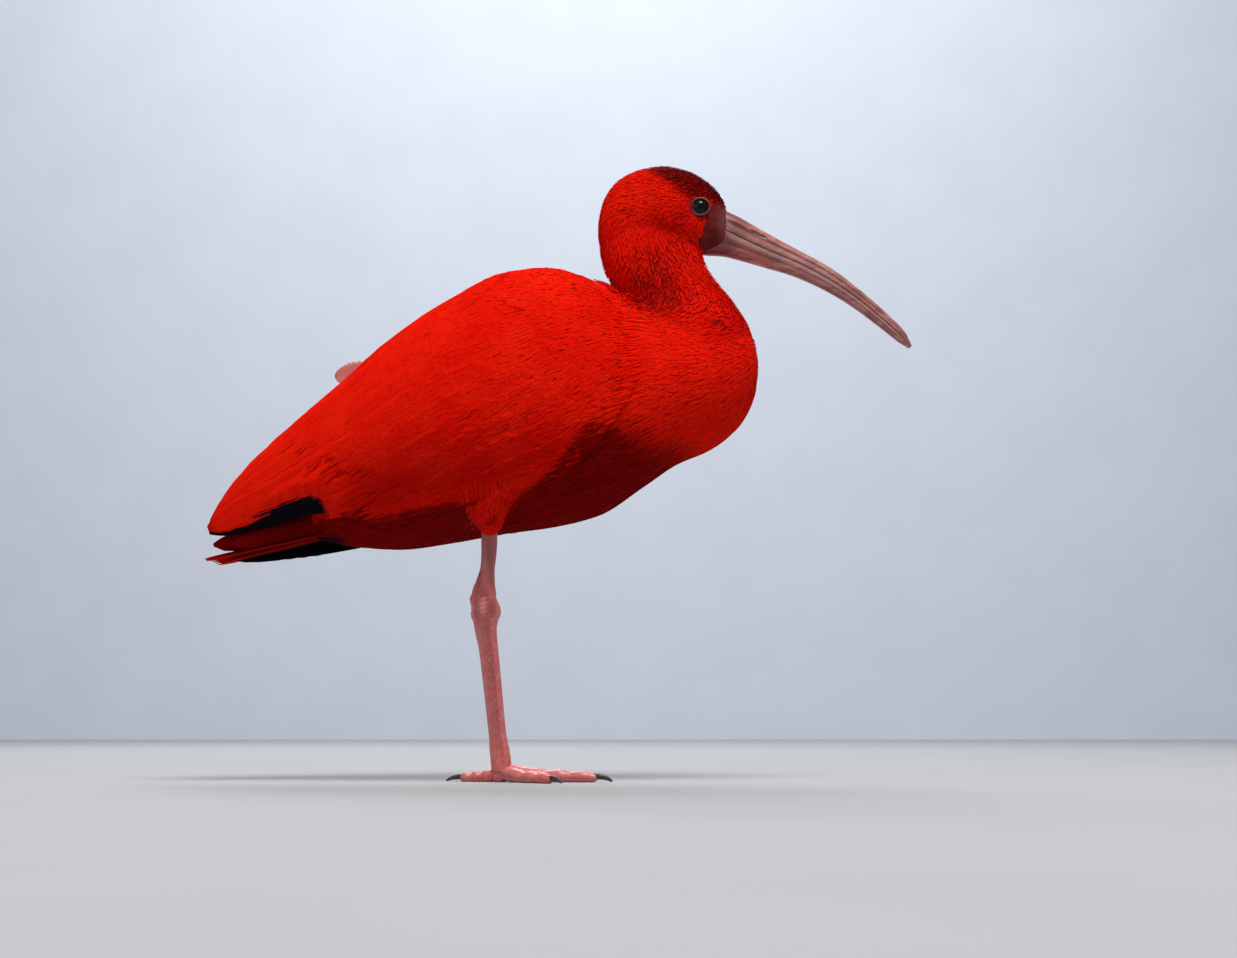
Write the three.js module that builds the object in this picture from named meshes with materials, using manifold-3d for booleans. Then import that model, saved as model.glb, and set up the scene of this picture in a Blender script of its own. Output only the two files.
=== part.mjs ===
// A scarlet ibis resting on its right leg, the left one drawn up under the belly: life size, in millimetres.
// The bird faces +X, its left side is +Y and +Z is up. The origin is on the floor, under the standing tarsus.
import * as THREE from "three";
import { mergeVertices } from "three/addons/utils/BufferGeometryUtils.js";
import Module from "manifold-3d";

const wasm = await Module();
wasm.setup();

// Driving sizes
const GAP = 0.3; // between touching parts
const RIGHT = -1;
const LEFT = 1;
const TRUNK_SIDES = 20;
const TIDY = 0.04; // how far joining may move a face to drop needless triangles

// The trunk from undertail coverts to breast: height of back, of the widest line and of the belly, half width
const BODY_AT = table(["x", "back", "widest", "belly", "half"], [
  [-123, 163, 157, 150.5, 6],
  [-110, 200, 168, 147, 22],
  [-90, 238, 188, 143.5, 36],
  [-65, 271, 208, 142, 47],
  [-30, 297, 222, 146.5, 57],
  [0, 314, 230, 152, 61],
  [30, 320.5, 234, 156, 61.5],
  [60, 316, 238, 163.5, 60],
  [90, 302, 242, 183, 57],
  [110, 294, 246, 196.5, 52],
  [130, 290, 250, 205, 45],
  [148, 287, 254, 219, 34],
  [158, 280, 258, 236, 22],
  [162.5, 265, 260, 256, 5],
]);

// The neck, sliced level from the breast up into the head: its back, front and half width
const NECK_AT = table(["z", "rear", "front", "half"], [
  [212, 70, 138, 26],
  [225, 66, 151, 36],
  [241, 64, 160, 42],
  [260, 64, 162.8, 43.5],
  [282, 68, 158, 39],
  [301, 74, 147, 32],
  [313, 68, 137.5, 27.5],
  [325, 62, 130, 24.5],
  [338, 59.5, 126, 22.5],
  [352, 62, 122, 20],
]);

// The head, sliced across from nape to the feathered forehead
const HEAD_AT = table(["x", "crown", "widest", "chin", "half"], [
  [59.5, 352, 348, 344, 4],
  [64, 370, 350, 332, 13],
  [74, 383, 353, 326, 18.5],
  [88, 389.5, 356, 325, 21],
  [102, 391.5, 358, 326, 21.3],
  [118, 388, 359, 330, 19.3],
  [130, 381, 358, 333, 16],
  [138, 372.5, 355, 334, 12.6],
  [142.3, 363, 350, 335.5, 9.8],
]);

// The folded wing: ridge, widest line, how far the section would fall below it, half width,
// the angle from the top where the wing starts, and the height of its lower edge
const WING_AT = table(["x", "ridge", "widest", "drop", "half", "start", "edge"], [
  [-183, 161, 155, 12, 9, 4, 150],
  [-155, 198, 168, 28, 22, 2.5, 149.5],
  [-128, 225, 181, 40, 33, 1.4, 152.5],
  [-95, 254, 197, 55, 46, 1, 156],
  [-65, 281, 212, 68, 56, 0.8, 160],
  [-30, 304, 225, 78, 64.5, 1.5, 166],
  [0, 318.5, 232, 81, 67.5, 7, 173],
  [30, 322, 236, 80, 67, 17, 182],
  [60, 317, 238, 76, 64, 32, 197],
  [84, 305, 241, 62, 59, 52, 216],
]);
const WING_FRONT = 84;
const WING_TIP = -183;
const CORE_END = 0.74; // share of the wing's length that has a solid core under the feathers

// Rows of wing feathers: where the roots and tips lie (share of length, share from top edge to lower edge),
// how many, their half width, how high root and tip lie over the core, and how their length varies
const WING_TIERS = [
  { name: "primaries", count: 3, root: [[0.52, 0.9], [0.5, 0.96]], tip: [[1.0, 0.9], [0.84, 1.02]],
    half: 8, height: [-3, -2.2], steps: 2 },
  { name: "secondaries", count: 4, root: [[0.46, 0.78], [0.34, 0.9]], tip: [[0.92, 0.8], [0.6, 1.02]],
    half: 10, height: [-2.2, -0.5], steps: 3 },
  { name: "tertials", count: 3, root: [[0.46, 0.14], [0.46, 0.62]], tip: [[0.985, 0.22], [0.975, 0.76]],
    half: 14, height: [-1.4, 0.6], steps: 3 },
  { name: "greater coverts", count: 4, root: [[0.38, 0.38], [0.16, 0.84]], tip: [[0.66, 0.46], [0.4, 0.985]],
    half: 12, height: [-1.2, 0.8], steps: 3 },
  { name: "median coverts", count: 3, root: [[0.22, 0.42], [0.08, 0.72]], tip: [[0.46, 0.42], [0.24, 0.86]],
    half: 12, height: [-1.0, 1.2], steps: 2 },
  { name: "scapulars", count: 3, root: [[0.1, 0.28], [0.36, 0.16]], tip: [[0.44, 0.3], [0.74, 0.16]],
    half: 13, height: [-1.0, 1.6], steps: 3 },
];
const VANE_THICK = 1.1;

const TAIL_ROOT = new THREE.Vector3(-84, 0, 160.5);
const TAIL_TIP = new THREE.Vector3(-186, 0, 137);
const TAIL_PAIRS = 6;
const TAIL_SPREAD = 17; // how far the outermost shaft's tip lies from the middle

const EYE = new THREE.Vector3(124.5, 12.4, 360);
const EYE_RADIUS = 7;
const LID_RADIUS = 5.9;

// The bill along its length: middle line, half depth above and below it, half width
const BILL_AT = table(["s", "x", "z", "up", "down", "half"], [
  [0, 132, 351, 14, 15.5, 8.6],
  [0.08, 142.5, 347.5, 12.6, 13.2, 8.4],
  [0.17, 154, 342, 11.6, 10.6, 7.4],
  [0.28, 169, 335.2, 10, 8.6, 6.2],
  [0.42, 187, 327.6, 8, 7, 5],
  [0.56, 205, 318, 7.3, 5.8, 4.3],
  [0.7, 222, 306.6, 5.8, 4.9, 3.8],
  [0.84, 239, 292.6, 4.9, 4, 3.4],
  [0.94, 251.5, 281, 4, 3.2, 2.9],
  [1, 258.5, 273, 1.2, 1, 1.2],
]);
const MOUTH_GAP = 0.4;

const FOOT = new THREE.Vector3(0, -1, 0);

// Toes of the standing foot: bearing from straight ahead towards the bird's left, length, radius at the root
const TOES = [
  { name: "middle", bearing: -9, length: 60, radius: 4.6 },
  { name: "inner", bearing: 24, length: 46, radius: 4.3 },
  { name: "outer", bearing: -48, length: 48, radius: 4.2 },
  { name: "hind", bearing: 168, length: 27, radius: 3.9 },
];
const CLAW_LENGTH = 9;

const COLOURS = {
  plumage: new THREE.MeshStandardMaterial({ color: 0xd5160c, roughness: 0.75, metalness: 0 }),
  wing: new THREE.MeshStandardMaterial({ color: 0xcc1208, roughness: 0.6, metalness: 0 }),
  head: new THREE.MeshStandardMaterial({ color: 0xb3150f, roughness: 0.8, metalness: 0 }),
  bill: new THREE.MeshStandardMaterial({ color: 0xa5605a, roughness: 0.5, metalness: 0 }),
  leg: new THREE.MeshStandardMaterial({ color: 0xc9524f, roughness: 0.45, metalness: 0 }),
  claw: new THREE.MeshStandardMaterial({ color: 0x2a2020, roughness: 0.4, metalness: 0 }),
  eye: new THREE.MeshStandardMaterial({ color: 0x0c0808, roughness: 0.05, metalness: 0 }),
};

// A smooth curve through a few rising keys that never overshoots its values.
function smooth(keys, values) {
  const slopes = keys.slice(1).map((k, i) => (values[i + 1] - values[i]) / (k - keys[i]));
  const tangents = keys.map((_, i) => {
    const before = slopes[i - 1] ?? slopes[0];
    const after = slopes[i] ?? slopes[slopes.length - 1];
    return before * after <= 0 ? 0 : (2 * before * after) / (before + after);
  });
  return (key) => {
    const k = THREE.MathUtils.clamp(key, keys[0], keys[keys.length - 1]);
    let i = 0;
    while (i < keys.length - 2 && k > keys[i + 1]) i++;
    const span = keys[i + 1] - keys[i];
    const t = (k - keys[i]) / span;
    const a = values[i] * (1 + 2 * t) + tangents[i] * span * t;
    const b = values[i + 1] * (3 - 2 * t) - tangents[i + 1] * span * (1 - t);
    return a * (1 - t) ** 2 + b * t ** 2;
  };
}

// A table of sizes by position, read between its rows as well: at(x).half and so on.
function table(columns, rows) {
  const keys = rows.map((row) => row[0]);
  const curves = columns.slice(1).map((name, c) => [name, smooth(keys, rows.map((row) => row[c + 1]))]);
  return (key) => Object.fromEntries(curves.map(([name, curve]) => [name, curve(key)]));
}

const lerp = THREE.MathUtils.lerp;
const between = (from, to, t) => [lerp(from[0], to[0], t), lerp(from[1], to[1], t)];
const rad = THREE.MathUtils.degToRad;
const spread = (count) => Array.from({ length: count }, (_, i) => i / (count - 1));
const power = (value, exponent) => Math.sign(value) * Math.abs(value) ** exponent;

function geometryOf(points, index) {
  const position = new Float32Array(points.flatMap((p) => [p.x, p.y, p.z]));
  return new THREE.BufferGeometry()
    .setAttribute("position", new THREE.BufferAttribute(position, 3))
    .setIndex(index);
}

// A closed mesh as a solid, its faces turned outwards.
function solid(geometry) {
  const bare = geometry.clone();
  bare.deleteAttribute("normal");
  bare.deleteAttribute("uv");
  const merged = mergeVertices(bare, 1e-3);
  const make = (triVerts) => new wasm.Manifold(new wasm.Mesh({
    numProp: 3, vertProperties: merged.attributes.position.array, triVerts,
  }));
  const triangles = new Uint32Array(merged.index.array);
  const made = make(triangles);
  if (made.volume() > 0) return made;
  for (let i = 0; i < triangles.length; i += 3) {
    [triangles[i + 1], triangles[i + 2]] = [triangles[i + 2], triangles[i + 1]];
  }
  return make(triangles);
}

// A closed body through rings of equal counts, with a fan over each end.
function loft(rings) {
  const sides = rings[0].length;
  const points = rings.flat();
  const index = [];
  for (let r = 0; r + 1 < rings.length; r++) {
    for (let s = 0; s < sides; s++) {
      const a = r * sides + s;
      const b = r * sides + ((s + 1) % sides);
      index.push(a, b, b + sides, a, b + sides, a + sides);
    }
  }
  for (const [first, turn] of [[0, 1], [(rings.length - 1) * sides, -1]]) {
    const middle = new THREE.Vector3();
    for (let s = 0; s < sides; s++) middle.addScaledVector(points[first + s], 1 / sides);
    points.push(middle);
    for (let s = 0; s < sides; s++) {
      const edge = [first + s, first + ((s + 1) % sides)];
      index.push(points.length - 1, ...(turn > 0 ? edge.reverse() : edge));
    }
  }
  return solid(geometryOf(points, index));
}

// A plate between two like grids of points: top(i, j) and bottom(i, j), joined round the rim.
function plate(top, bottom, across) {
  const count = top.length;
  const along = count / across;
  const index = [];
  for (let i = 0; i + 1 < along; i++) {
    for (let j = 0; j + 1 < across; j++) {
      const a = i * across + j;
      const [b, c, d] = [a + 1, a + across, a + across + 1];
      index.push(a, c, d, a, d, b);
      index.push(a + count, d + count, c + count, a + count, b + count, d + count);
    }
  }
  const rim = [
    ...spread(along).map((_, i) => i * across),
    ...spread(across - 1).map((_, j) => (along - 1) * across + j + 1),
    ...spread(along - 1).map((_, i) => (along - 1 - i) * across - 1),
    ...Array.from({ length: across - 2 }, (_, j) => across - 2 - j),
  ];
  rim.forEach((a, i) => {
    const b = rim[(i + 1) % rim.length];
    index.push(a, b + count, b, a, a + count, b + count);
  });
  return solid(geometryOf([...top, ...bottom], index));
}

const union = (pieces) => wasm.Manifold.union(pieces);

// The largest closed surface of a solid, so that no scrap or sealed hollow stays in it.
function largest(body) {
  const parts = body.decompose();
  return parts.reduce((best, piece) => (piece.volume() > best.volume() ? piece : best));
}

function surfaceOf(body) {
  const { vertProperties, triVerts, numProp } = body.getMesh();
  const position = new Float32Array((vertProperties.length / numProp) * 3);
  for (let i = 0; i < position.length / 3; i++) {
    position.set(vertProperties.subarray(i * numProp, i * numProp + 3), i * 3);
  }
  return new THREE.BufferGeometry()
    .setAttribute("position", new THREE.BufferAttribute(position, 3))
    .setIndex(new THREE.BufferAttribute(triVerts, 1));
}

function meshOf(name, body, material) {
  const tidied = largest(solid(surfaceOf(largest(body.simplify(TIDY)))));
  const geometry = surfaceOf(tidied);
  geometry.computeVertexNormals();
  const mesh = new THREE.Mesh(geometry, material);
  mesh.name = name;
  return mesh;
}

// A body from tables read at levels of one coordinate, grown by a clearance where asked.
function slices(at, from, to, steps, ring, grow) {
  return loft(spread(steps).map((t) => {
    const key = lerp(from, to, t);
    const past = t === 0 ? Math.sign(from - to) : t === 1 ? Math.sign(to - from) : 0;
    return ring(key + past * grow, at(key), grow);
  }));
}

function trunkRing(x, { back, crown, widest, belly, chin, half }, grow) {
  const top = (back ?? crown) - widest + grow;
  const bottom = widest - (belly ?? chin) + grow;
  return Array.from({ length: TRUNK_SIDES }, (_, s) => {
    const angle = (2 * Math.PI * s) / TRUNK_SIDES;
    const rise = Math.cos(angle);
    const y = (half + grow) * power(Math.sin(angle), 0.94);
    return new THREE.Vector3(x, y, widest + (rise > 0 ? top : bottom) * power(rise, 0.97));
  });
}

function neckRing(z, { rear, front, half }, grow) {
  const reach = (front - rear) / 2 + grow;
  return Array.from({ length: TRUNK_SIDES }, (_, s) => {
    const angle = (2 * Math.PI * s) / TRUNK_SIDES;
    const x = (front + rear) / 2 + reach * Math.cos(angle);
    return new THREE.Vector3(x, (half + grow) * Math.sin(angle), z);
  });
}

const bodyLoft = (grow = 0) => slices(BODY_AT, -123, 162.5, 16, trunkRing, grow);
const neckLoft = (grow = 0) => slices(NECK_AT, 212, 352, 9, neckRing, grow);
const headLoft = (grow = 0) => slices(HEAD_AT, 59.5, 142.3, 11, trunkRing, grow);

const SIDEWAYS = new THREE.Vector3(0, 1, 0);

function pathThrough(rows) {
  const points = rows.map(([x, y, z]) => new THREE.Vector3(x, y, z));
  return new THREE.CatmullRomCurve3(points, false, "centripetal");
}

// A tapering limb along rows of [x, y, z, half depth, half width], its width lying along `across`.
function limb(rows, { steps = rows.length, sides = 8, across = SIDEWAYS, grow = 0 } = {}) {
  const path = pathThrough(rows);
  const keys = rows.map((_, i) => i / (rows.length - 1));
  const depth = smooth(keys, rows.map((row) => row[3]));
  const width = smooth(keys, rows.map((row) => row[4]));
  return loft(spread(steps).map((t) => {
    const ahead = path.getTangent(t);
    const side = across.clone().addScaledVector(ahead, -across.dot(ahead)).normalize();
    const out = new THREE.Vector3().crossVectors(side, ahead);
    const past = t === 0 ? -grow : t === 1 ? grow : 0;
    const middle = path.getPoint(t).addScaledVector(ahead, past);
    return Array.from({ length: sides }, (_, s) => {
      const angle = (2 * Math.PI * s) / sides;
      return middle.clone()
        .addScaledVector(out, (depth(t) + grow) * Math.cos(angle))
        .addScaledVector(side, (width(t) + grow) * Math.sin(angle));
    });
  }));
}

// A point over the closed wing: u runs from the bend to the tip, v from the top edge to the lower edge.
function wingPoint(side, u, v, height = 0, shape = u) {
  const x = lerp(WING_FRONT, WING_TIP, u);
  const { ridge, widest, drop, half, start, edge } = WING_AT(x);
  const first = rad(start);
  const last = Math.acos(THREE.MathUtils.clamp((edge - widest) / drop, -1, 1));
  const opening = shape < 0.16 ? Math.sqrt(1 - (1 - Math.max(shape, 0.002) / 0.16) ** 2) : 1;
  const middle = lerp(first, last, 0.45);
  const angle = middle + (lerp(first, last, v) - middle) * lerp(0.12, 1, opening);
  const rise = Math.cos(angle);
  const up = (rise > 0 ? ridge - widest : drop) + height;
  return new THREE.Vector3(x, side * (half + height) * Math.sin(angle), widest + up * rise);
}

// How deep the wing's core reaches under its surface: thick at the bend, thin at the edges and the end.
function coreDepth(u, v) {
  const bulge = Math.sin(Math.PI * THREE.MathUtils.clamp(v, 0, 1)) ** 0.7;
  return 1.8 + lerp(6.5, 1.6, Math.min(1, u / CORE_END) ** 0.8) * bulge;
}

function wingCore(side, { grow = 0, open = 0 } = {}) {
  const [along, across] = [12, 8];
  const reach = grow / 40;
  const grid = (height) => spread(along).flatMap((i) => spread(across).map((j) => {
    const shape = lerp(0.004, CORE_END, i ** 1.3);
    const u = Math.max(0, shape + lerp(-grow, grow, i) / 200);
    return wingPoint(side, u, lerp(0.02 - reach, 0.97 + reach, j), height(u, j), shape);
  }));
  return plate(
    grid(() => -1.2 + grow + open),
    grid((u, v) => -1.2 - coreDepth(u, v) - grow),
    across,
  );
}

// A feather's outline: how wide it is at a share of its length, of its full half width.
function vaneWidth(s) {
  const body = 0.5 + 0.5 * Math.min(1, s / 0.45);
  const tip = s > 0.62 ? Math.sqrt(Math.max(0, 1 - ((s - 0.62) / 0.385) ** 2)) : 1;
  return body * Math.max(tip, 0.14);
}

// Small differences between feathers, the same on every run.
const SEED = 20261125;
let drawn = SEED;
function jitter(amount) {
  drawn = (Math.imul(drawn, 1664525) + 1013904223) >>> 0;
  return amount * (drawn / 2 ** 31 - 1);
}

// One vane laid over a surface: place(u, v, height) along a line from root to tip, arched across its shaft.
function vane(place, root, tip, { half, height, steps }) {
  const across = 3;
  const reach = 1 + jitter(0.03);
  const width = half * (1 + jitter(0.07));
  const line = (s) => between([root[0], root[1]], [tip[0], tip[1]], s * reach);
  const at = (s) => place(...line(s), lerp(height[0], height[1], s ** 0.7));
  const rows = spread(steps + 1).map((s) => {
    const middle = at(s);
    const ahead = at(Math.min(1, s + 0.02)).sub(at(Math.max(0, s - 0.02))).normalize();
    const out = place(...line(s), height[1] + 5).sub(middle).normalize();
    const aside = new THREE.Vector3().crossVectors(out, ahead).normalize();
    out.crossVectors(ahead, aside).normalize();
    return { middle, out, aside, wide: width * vaneWidth(s) };
  });
  const grid = (lift) => rows.flatMap(({ middle, out, aside, wide }) => [-1, 0, 1].map((j) => middle.clone()
    .addScaledVector(aside, j * wide)
    .addScaledVector(out, lift - Math.abs(j) * (wide * wide) / 110)));
  return plate(grid(VANE_THICK / 2), grid(-VANE_THICK / 2), across);
}

function wingVanes(side) {
  const place = (u, v, height) => wingPoint(side, u, v, height);
  return WING_TIERS.flatMap((tier) => spread(tier.count).map((t) =>
    vane(place, between(...tier.root, t), between(...tier.tip, t), tier)));
}

// The tail's plane: along from root to tip, aside from the middle, and height over it.
function tailPoint(along, aside, height) {
  const x = lerp(TAIL_ROOT.x, TAIL_TIP.x, along);
  const z = lerp(TAIL_ROOT.z, TAIL_TIP.z, along) + height - (aside / 26) ** 2 * 3;
  return new THREE.Vector3(x, aside, z);
}

function tailCore(grow = 0) {
  const grid = (lift) => spread(6).flatMap((i) => spread(5).map((j) => {
    const along = lerp(-0.04 - grow / 100, 0.46 + grow / 100, i);
    const wide = lerp(9, 15, i) + grow;
    return tailPoint(along, lerp(-wide, wide, j), lift * lerp(1, 0.6, i) + Math.sign(lift) * grow);
  }));
  return plate(grid(2.6), grid(-2.6), 5);
}

function tailVanes() {
  return [LEFT, RIGHT].flatMap((side) => spread(TAIL_PAIRS).map((t) => {
    const place = (along, aside, height) => tailPoint(along, side * aside, height);
    const root = [0.12, lerp(1, 8, t)];
    const tip = [lerp(1, 0.955, t), lerp(1.5, TAIL_SPREAD, t)];
    const height = [lerp(1.6, -1.4, t), lerp(1.2, -1.4, t)];
    return vane(place, root, tip, { half: 6.6, height, steps: 3 });
  }));
}

function eyeball(side, grow = 0) {
  const sphere = new THREE.SphereGeometry(EYE_RADIUS + grow, 12, 9);
  return solid(sphere.translate(EYE.x, side * EYE.y, EYE.z));
}

// The bare rim of the lids round one eye.
function lids(side) {
  const ring = new THREE.TorusGeometry(LID_RADIUS, 1.25, 5, 16).rotateX(Math.PI / 2);
  return solid(ring.rotateZ(rad(side * -6)).translate(EYE.x + 0.2, side * (EYE.y + 5.6), EYE.z));
}

// Half of the bill, over (+1) or under (-1) the line of the mouth, with the groove along each side.
function billHalf(over, grow = 0) {
  const steps = 12;
  const sides = 8;
  return loft(spread(steps).map((t) => {
    const s = t ** 0.92;
    const { x, z, up, down, half } = BILL_AT(s);
    const [next, last] = [BILL_AT(Math.min(1, s + 0.01)), BILL_AT(Math.max(0, s - 0.01))];
    const ahead = new THREE.Vector3(next.x - last.x, 0, next.z - last.z).normalize();
    const rise = new THREE.Vector3(-ahead.z, 0, ahead.x);
    const depth = over > 0 ? up : down;
    const start = over > 0 ? -0.1 * up : -0.1 * up - MOUTH_GAP;
    const middle = new THREE.Vector3(x, 0, z).addScaledVector(rise, start - over * grow);
    return Array.from({ length: sides }, (_, i) => {
      const angle = (Math.PI * i) / (sides - 1);
      const groove = 1 - 0.13 * Math.exp(-(((Math.sin(angle) - 0.48) / 0.16) ** 2));
      const wide = (half * groove + grow) * power(Math.cos(angle), 0.8);
      const high = over * (depth + 2 * grow) * Math.sin(angle) * 1.1;
      return middle.clone().addScaledVector(rise, high).add(new THREE.Vector3(0, wide, 0));
    });
  }));
}

// The slit nostrils, one on each side near the base of the upper bill.
function nostrils() {
  return union([LEFT, RIGHT].map((side) => {
    const slit = new THREE.SphereGeometry(1, 12, 8).scale(4.6, 2, 0.95).rotateY(rad(27));
    return solid(slit.translate(160, side * 6.6, 346.5));
  }));
}

// Feathered thigh, bare shank, knobbed ankle and scaled tarsus of the standing leg.
const THIGH_RIGHT = [
  [2, -38, 206, 24, 15], [-3, -34, 180, 19, 13], [-5.5, -27, 163, 11.5, 9.5], [-6.5, -22.5, 150, 6, 5.6],
];
const SHANK_RIGHT = [
  [-6.3, -24, 166, 5, 4.8], [-6.6, -22, 148, 4.9, 4.6], [-8, -18.5, 131, 4.3, 4], [-9, -16, 120, 5, 4.5],
  [-9.6, -14.8, 113.5, 7, 5.6],
];
const TARSUS_RIGHT = [
  [-9.8, -14.4, 113, 7.9, 5.9], [-9.4, -13.6, 104, 8.6, 6.6], [-8.9, -12.8, 96, 6.2, 5.2],
  [-7.5, -11, 82, 4.9, 4.2], [-4.6, -7.2, 55, 4.8, 4.1], [-2, -3.8, 30, 5, 4.4], [-0.4, -1.9, 17, 6.2, 6],
  [0.6, -1.2, 9, 6.4, 6.8], [1, -1, 3.5, 5, 5.6],
];

// The leg drawn up: thigh and shank lie back along the flank, and the tarsus comes forward again,
// half sunk in the belly.
const THIGH_LEFT = [
  [26, 40, 204, 20, 13], [2, 40, 189, 18, 11], [-22, 36.5, 175, 12, 9], [-40, 32.5, 166, 7, 6.6],
];
const SHANK_LEFT = [
  [-32, 33, 169, 4.8, 4.6], [-44, 31, 163.5, 4.8, 4.6], [-56, 28.8, 159.4, 4.6, 4.2],
  [-64, 27.6, 157, 5.8, 5], [-69, 27, 156, 6.6, 5.6],
];
const TARSUS_LEFT = [
  [-69.5, 27, 155.6, 6.6, 5.6], [-63, 27, 156, 7, 6], [-54, 27, 156, 5.4, 4.8], [-36, 27.2, 157, 4.7, 4.1],
  [-10, 27.4, 160.4, 4.7, 4.1], [10, 27.6, 163, 5, 4.4], [21, 27.8, 165, 5.6, 6], [28, 28, 166.6, 4.4, 5],
];

// Raised plates down the front of a tarsus, as short saddles set along its path.
function scutes(rows, count, from, to) {
  const path = pathThrough(rows);
  const keys = rows.map((_, i) => i / (rows.length - 1));
  const depth = smooth(keys, rows.map((row) => row[3]));
  const width = smooth(keys, rows.map((row) => row[4]));
  const pitch = (to - from) / count;
  return Array.from({ length: count }, (_, k) => {
    const grid = (proud) => [0.04, 0.96].flatMap((share) => {
      const t = from + pitch * (k + share);
      const middle = path.getPoint(t);
      const ahead = path.getTangent(t);
      const side = new THREE.Vector3(0, 1, 0).addScaledVector(ahead, -ahead.y).normalize();
      const out = new THREE.Vector3().crossVectors(ahead, side);
      return [-58, 0, 58].map((angle) => middle.clone()
        .addScaledVector(out, (depth(t) + proud(share)) * Math.cos(rad(angle)))
        .addScaledVector(side, (width(t) + proud(share)) * Math.sin(rad(angle))));
    });
    return plate(grid((share) => 0.3 + 0.5 * share), grid(() => -1.6), 3);
  });
}

// One toe of the standing foot, from under the tarsus to its claw, with a pad at each joint and a flat sole.
function toePath({ bearing, length, radius }, shares) {
  const turn = rad(bearing);
  return shares.map(([share, rise, depth, width]) => [
    FOOT.x + 1 + length * share * Math.cos(turn), FOOT.y + length * share * Math.sin(turn),
    radius * rise, radius * depth, radius * width,
  ]);
}

function toeRows(toe) {
  return toePath(toe, [
    [0.02, 1.5, 1.15, 1.15], [0.2, 1.15, 1.05, 1.0], [0.36, 0.86, 0.95, 0.98], [0.48, 0.8, 0.86, 0.86],
    [0.6, 0.8, 0.9, 0.94], [0.72, 0.74, 0.76, 0.78], [0.84, 0.72, 0.8, 0.84], [0.94, 0.7, 0.68, 0.7],
    [1, 0.7, 0.5, 0.52],
  ]);
}

function clawRows(toe, grow = 0) {
  const past = CLAW_LENGTH / toe.length;
  return toePath(toe, [
    [0.93, 0.78, 0.42, 0.4], [1, 0.8, 0.42, 0.36], [1 + past * 0.45, 0.66, 0.34, 0.26],
    [1 + past * 0.8, 0.36, 0.22, 0.16], [1 + past, 0.12, 0.1, 0.08],
  ]).map(([x, y, z, depth, width]) => [x, y, z, depth + grow, width + grow]);
}

const acrossToe = ({ bearing }) => new THREE.Vector3(-Math.sin(rad(bearing)), Math.cos(rad(bearing)), 0);
const onFloor = (body) => body.trimByPlane([0, 0, 1], 0);

// The pad under the tarsus, whose flat is the sole that the bird rests on.
function ball() {
  const sphere = new THREE.SphereGeometry(5.4, 14, 10);
  return solid(sphere.translate(FOOT.x, FOOT.y, 4.3));
}

// The basal webs: a thin sheet between neighbouring front toes.
function webs() {
  return [[1, 0], [0, 2]].map((pair) => {
    const [a, b] = pair.map((i) => toePath(TOES[i], [[0.5, 0.5, 0, 0], [0.05, 1, 0, 0]]));
    const grid = (z) => [a[1], b[1], a[0], b[0]].reduce((rows, p, i) => {
      const point = new THREE.Vector3(p[0], p[1], p[2] + z);
      if (i % 2) rows.push(rows[rows.length - 1].clone().lerp(point, 0.5), point);
      else rows.push(point);
      return rows;
    }, []);
    const [top, bottom] = [grid(1), grid(-0.4)];
    for (const row of [top, bottom]) row[4].x -= 5;
    return plate(top, bottom, 3);
  });
}

// Toes of the drawn-up foot: closed together, bent forward along the belly.
const FOLDED_TOES = [
  { name: "inner", aside: -7.6, length: 0.8, radius: 3.9 },
  { name: "middle", aside: 0, length: 1, radius: 4.1 },
  { name: "outer", aside: 7.6, length: 0.84, radius: 3.9 },
];

function foldedPoint(aside, along) {
  const x = 29 + 42 * along;
  const z = 167.5 + 9 * along + 4 * along ** 2;
  return [x, 28 + aside * Math.min(1, 0.35 + along * 1.3) - 2 * along, z];
}

function foldedToe({ aside, length, radius }, grow = 0) {
  const rows = [[0.05, 0.9], [0.2, 1], [0.4, 0.86], [0.55, 0.95], [0.75, 0.78], [0.88, 0.84], [1, 0.5]];
  return limb(rows.map(([along, share]) => {
    const r = radius * share;
    return [...foldedPoint(aside, along * length), r, r * 0.9];
  }), { sides: 8, grow });
}

function foldedClaw({ aside, length }, grow = 0) {
  const rows = [[0.96, 1.7], [1.06, 1.4], [1.16, 0.9], [1.24, 0.35]];
  return limb(rows.map(([along, r], i) => {
    const [x, y, z] = foldedPoint(aside, along * length);
    return [x, y, z - 0.9 * i, r, r * 0.8];
  }), { sides: 6, grow });
}

const HIND_LEFT = [
  [20, 22, 164, 3.4, 3.2], [13, 19.5, 161, 3.3, 3.1], [5, 18, 158.4, 2.8, 2.7], [0, 17.6, 157.2, 1.6, 1.6],
];
const HIND_CLAW_LEFT = [
  [2, 17.8, 157.6, 1.4, 1.2], [-2, 17.4, 156, 1.3, 1.1], [-6, 17.2, 155.2, 0.9, 0.8],
  [-8.5, 17.2, 155.4, 0.35, 0.3],
];

// Cuts that part the trunk: each is a point on the cut and the direction it faces.
const HEAD_CUT = { at: [94, 0, 337], facing: [-0.14, 0, 1] };
const NECK_CUT = { at: [110, 0, 277], facing: [0.95, 0, 1] };
const BREAST_CUT = { at: [92, 0, 250], facing: [1, 0, -0.12] };

// Both sides of a cut, each drawn back by half the gap.
function part(body, { at, facing }) {
  const normal = new THREE.Vector3(...facing).normalize();
  const offset = normal.dot(new THREE.Vector3(...at));
  const back = normal.clone().negate();
  return [
    largest(body.trimByPlane(normal.toArray(), offset + GAP / 2)),
    largest(body.trimByPlane(back.toArray(), -offset + GAP / 2)),
  ];
}

const legBone = (rows, grow = 0, sides = 8) => limb(rows, { sides, grow });
const toeLimb = (rows, across, grow = 0) => limb(rows, { sides: 8, across, grow });
const clawLimb = (rows, across, grow = 0) => limb(rows, { sides: 6, across, grow });

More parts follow.
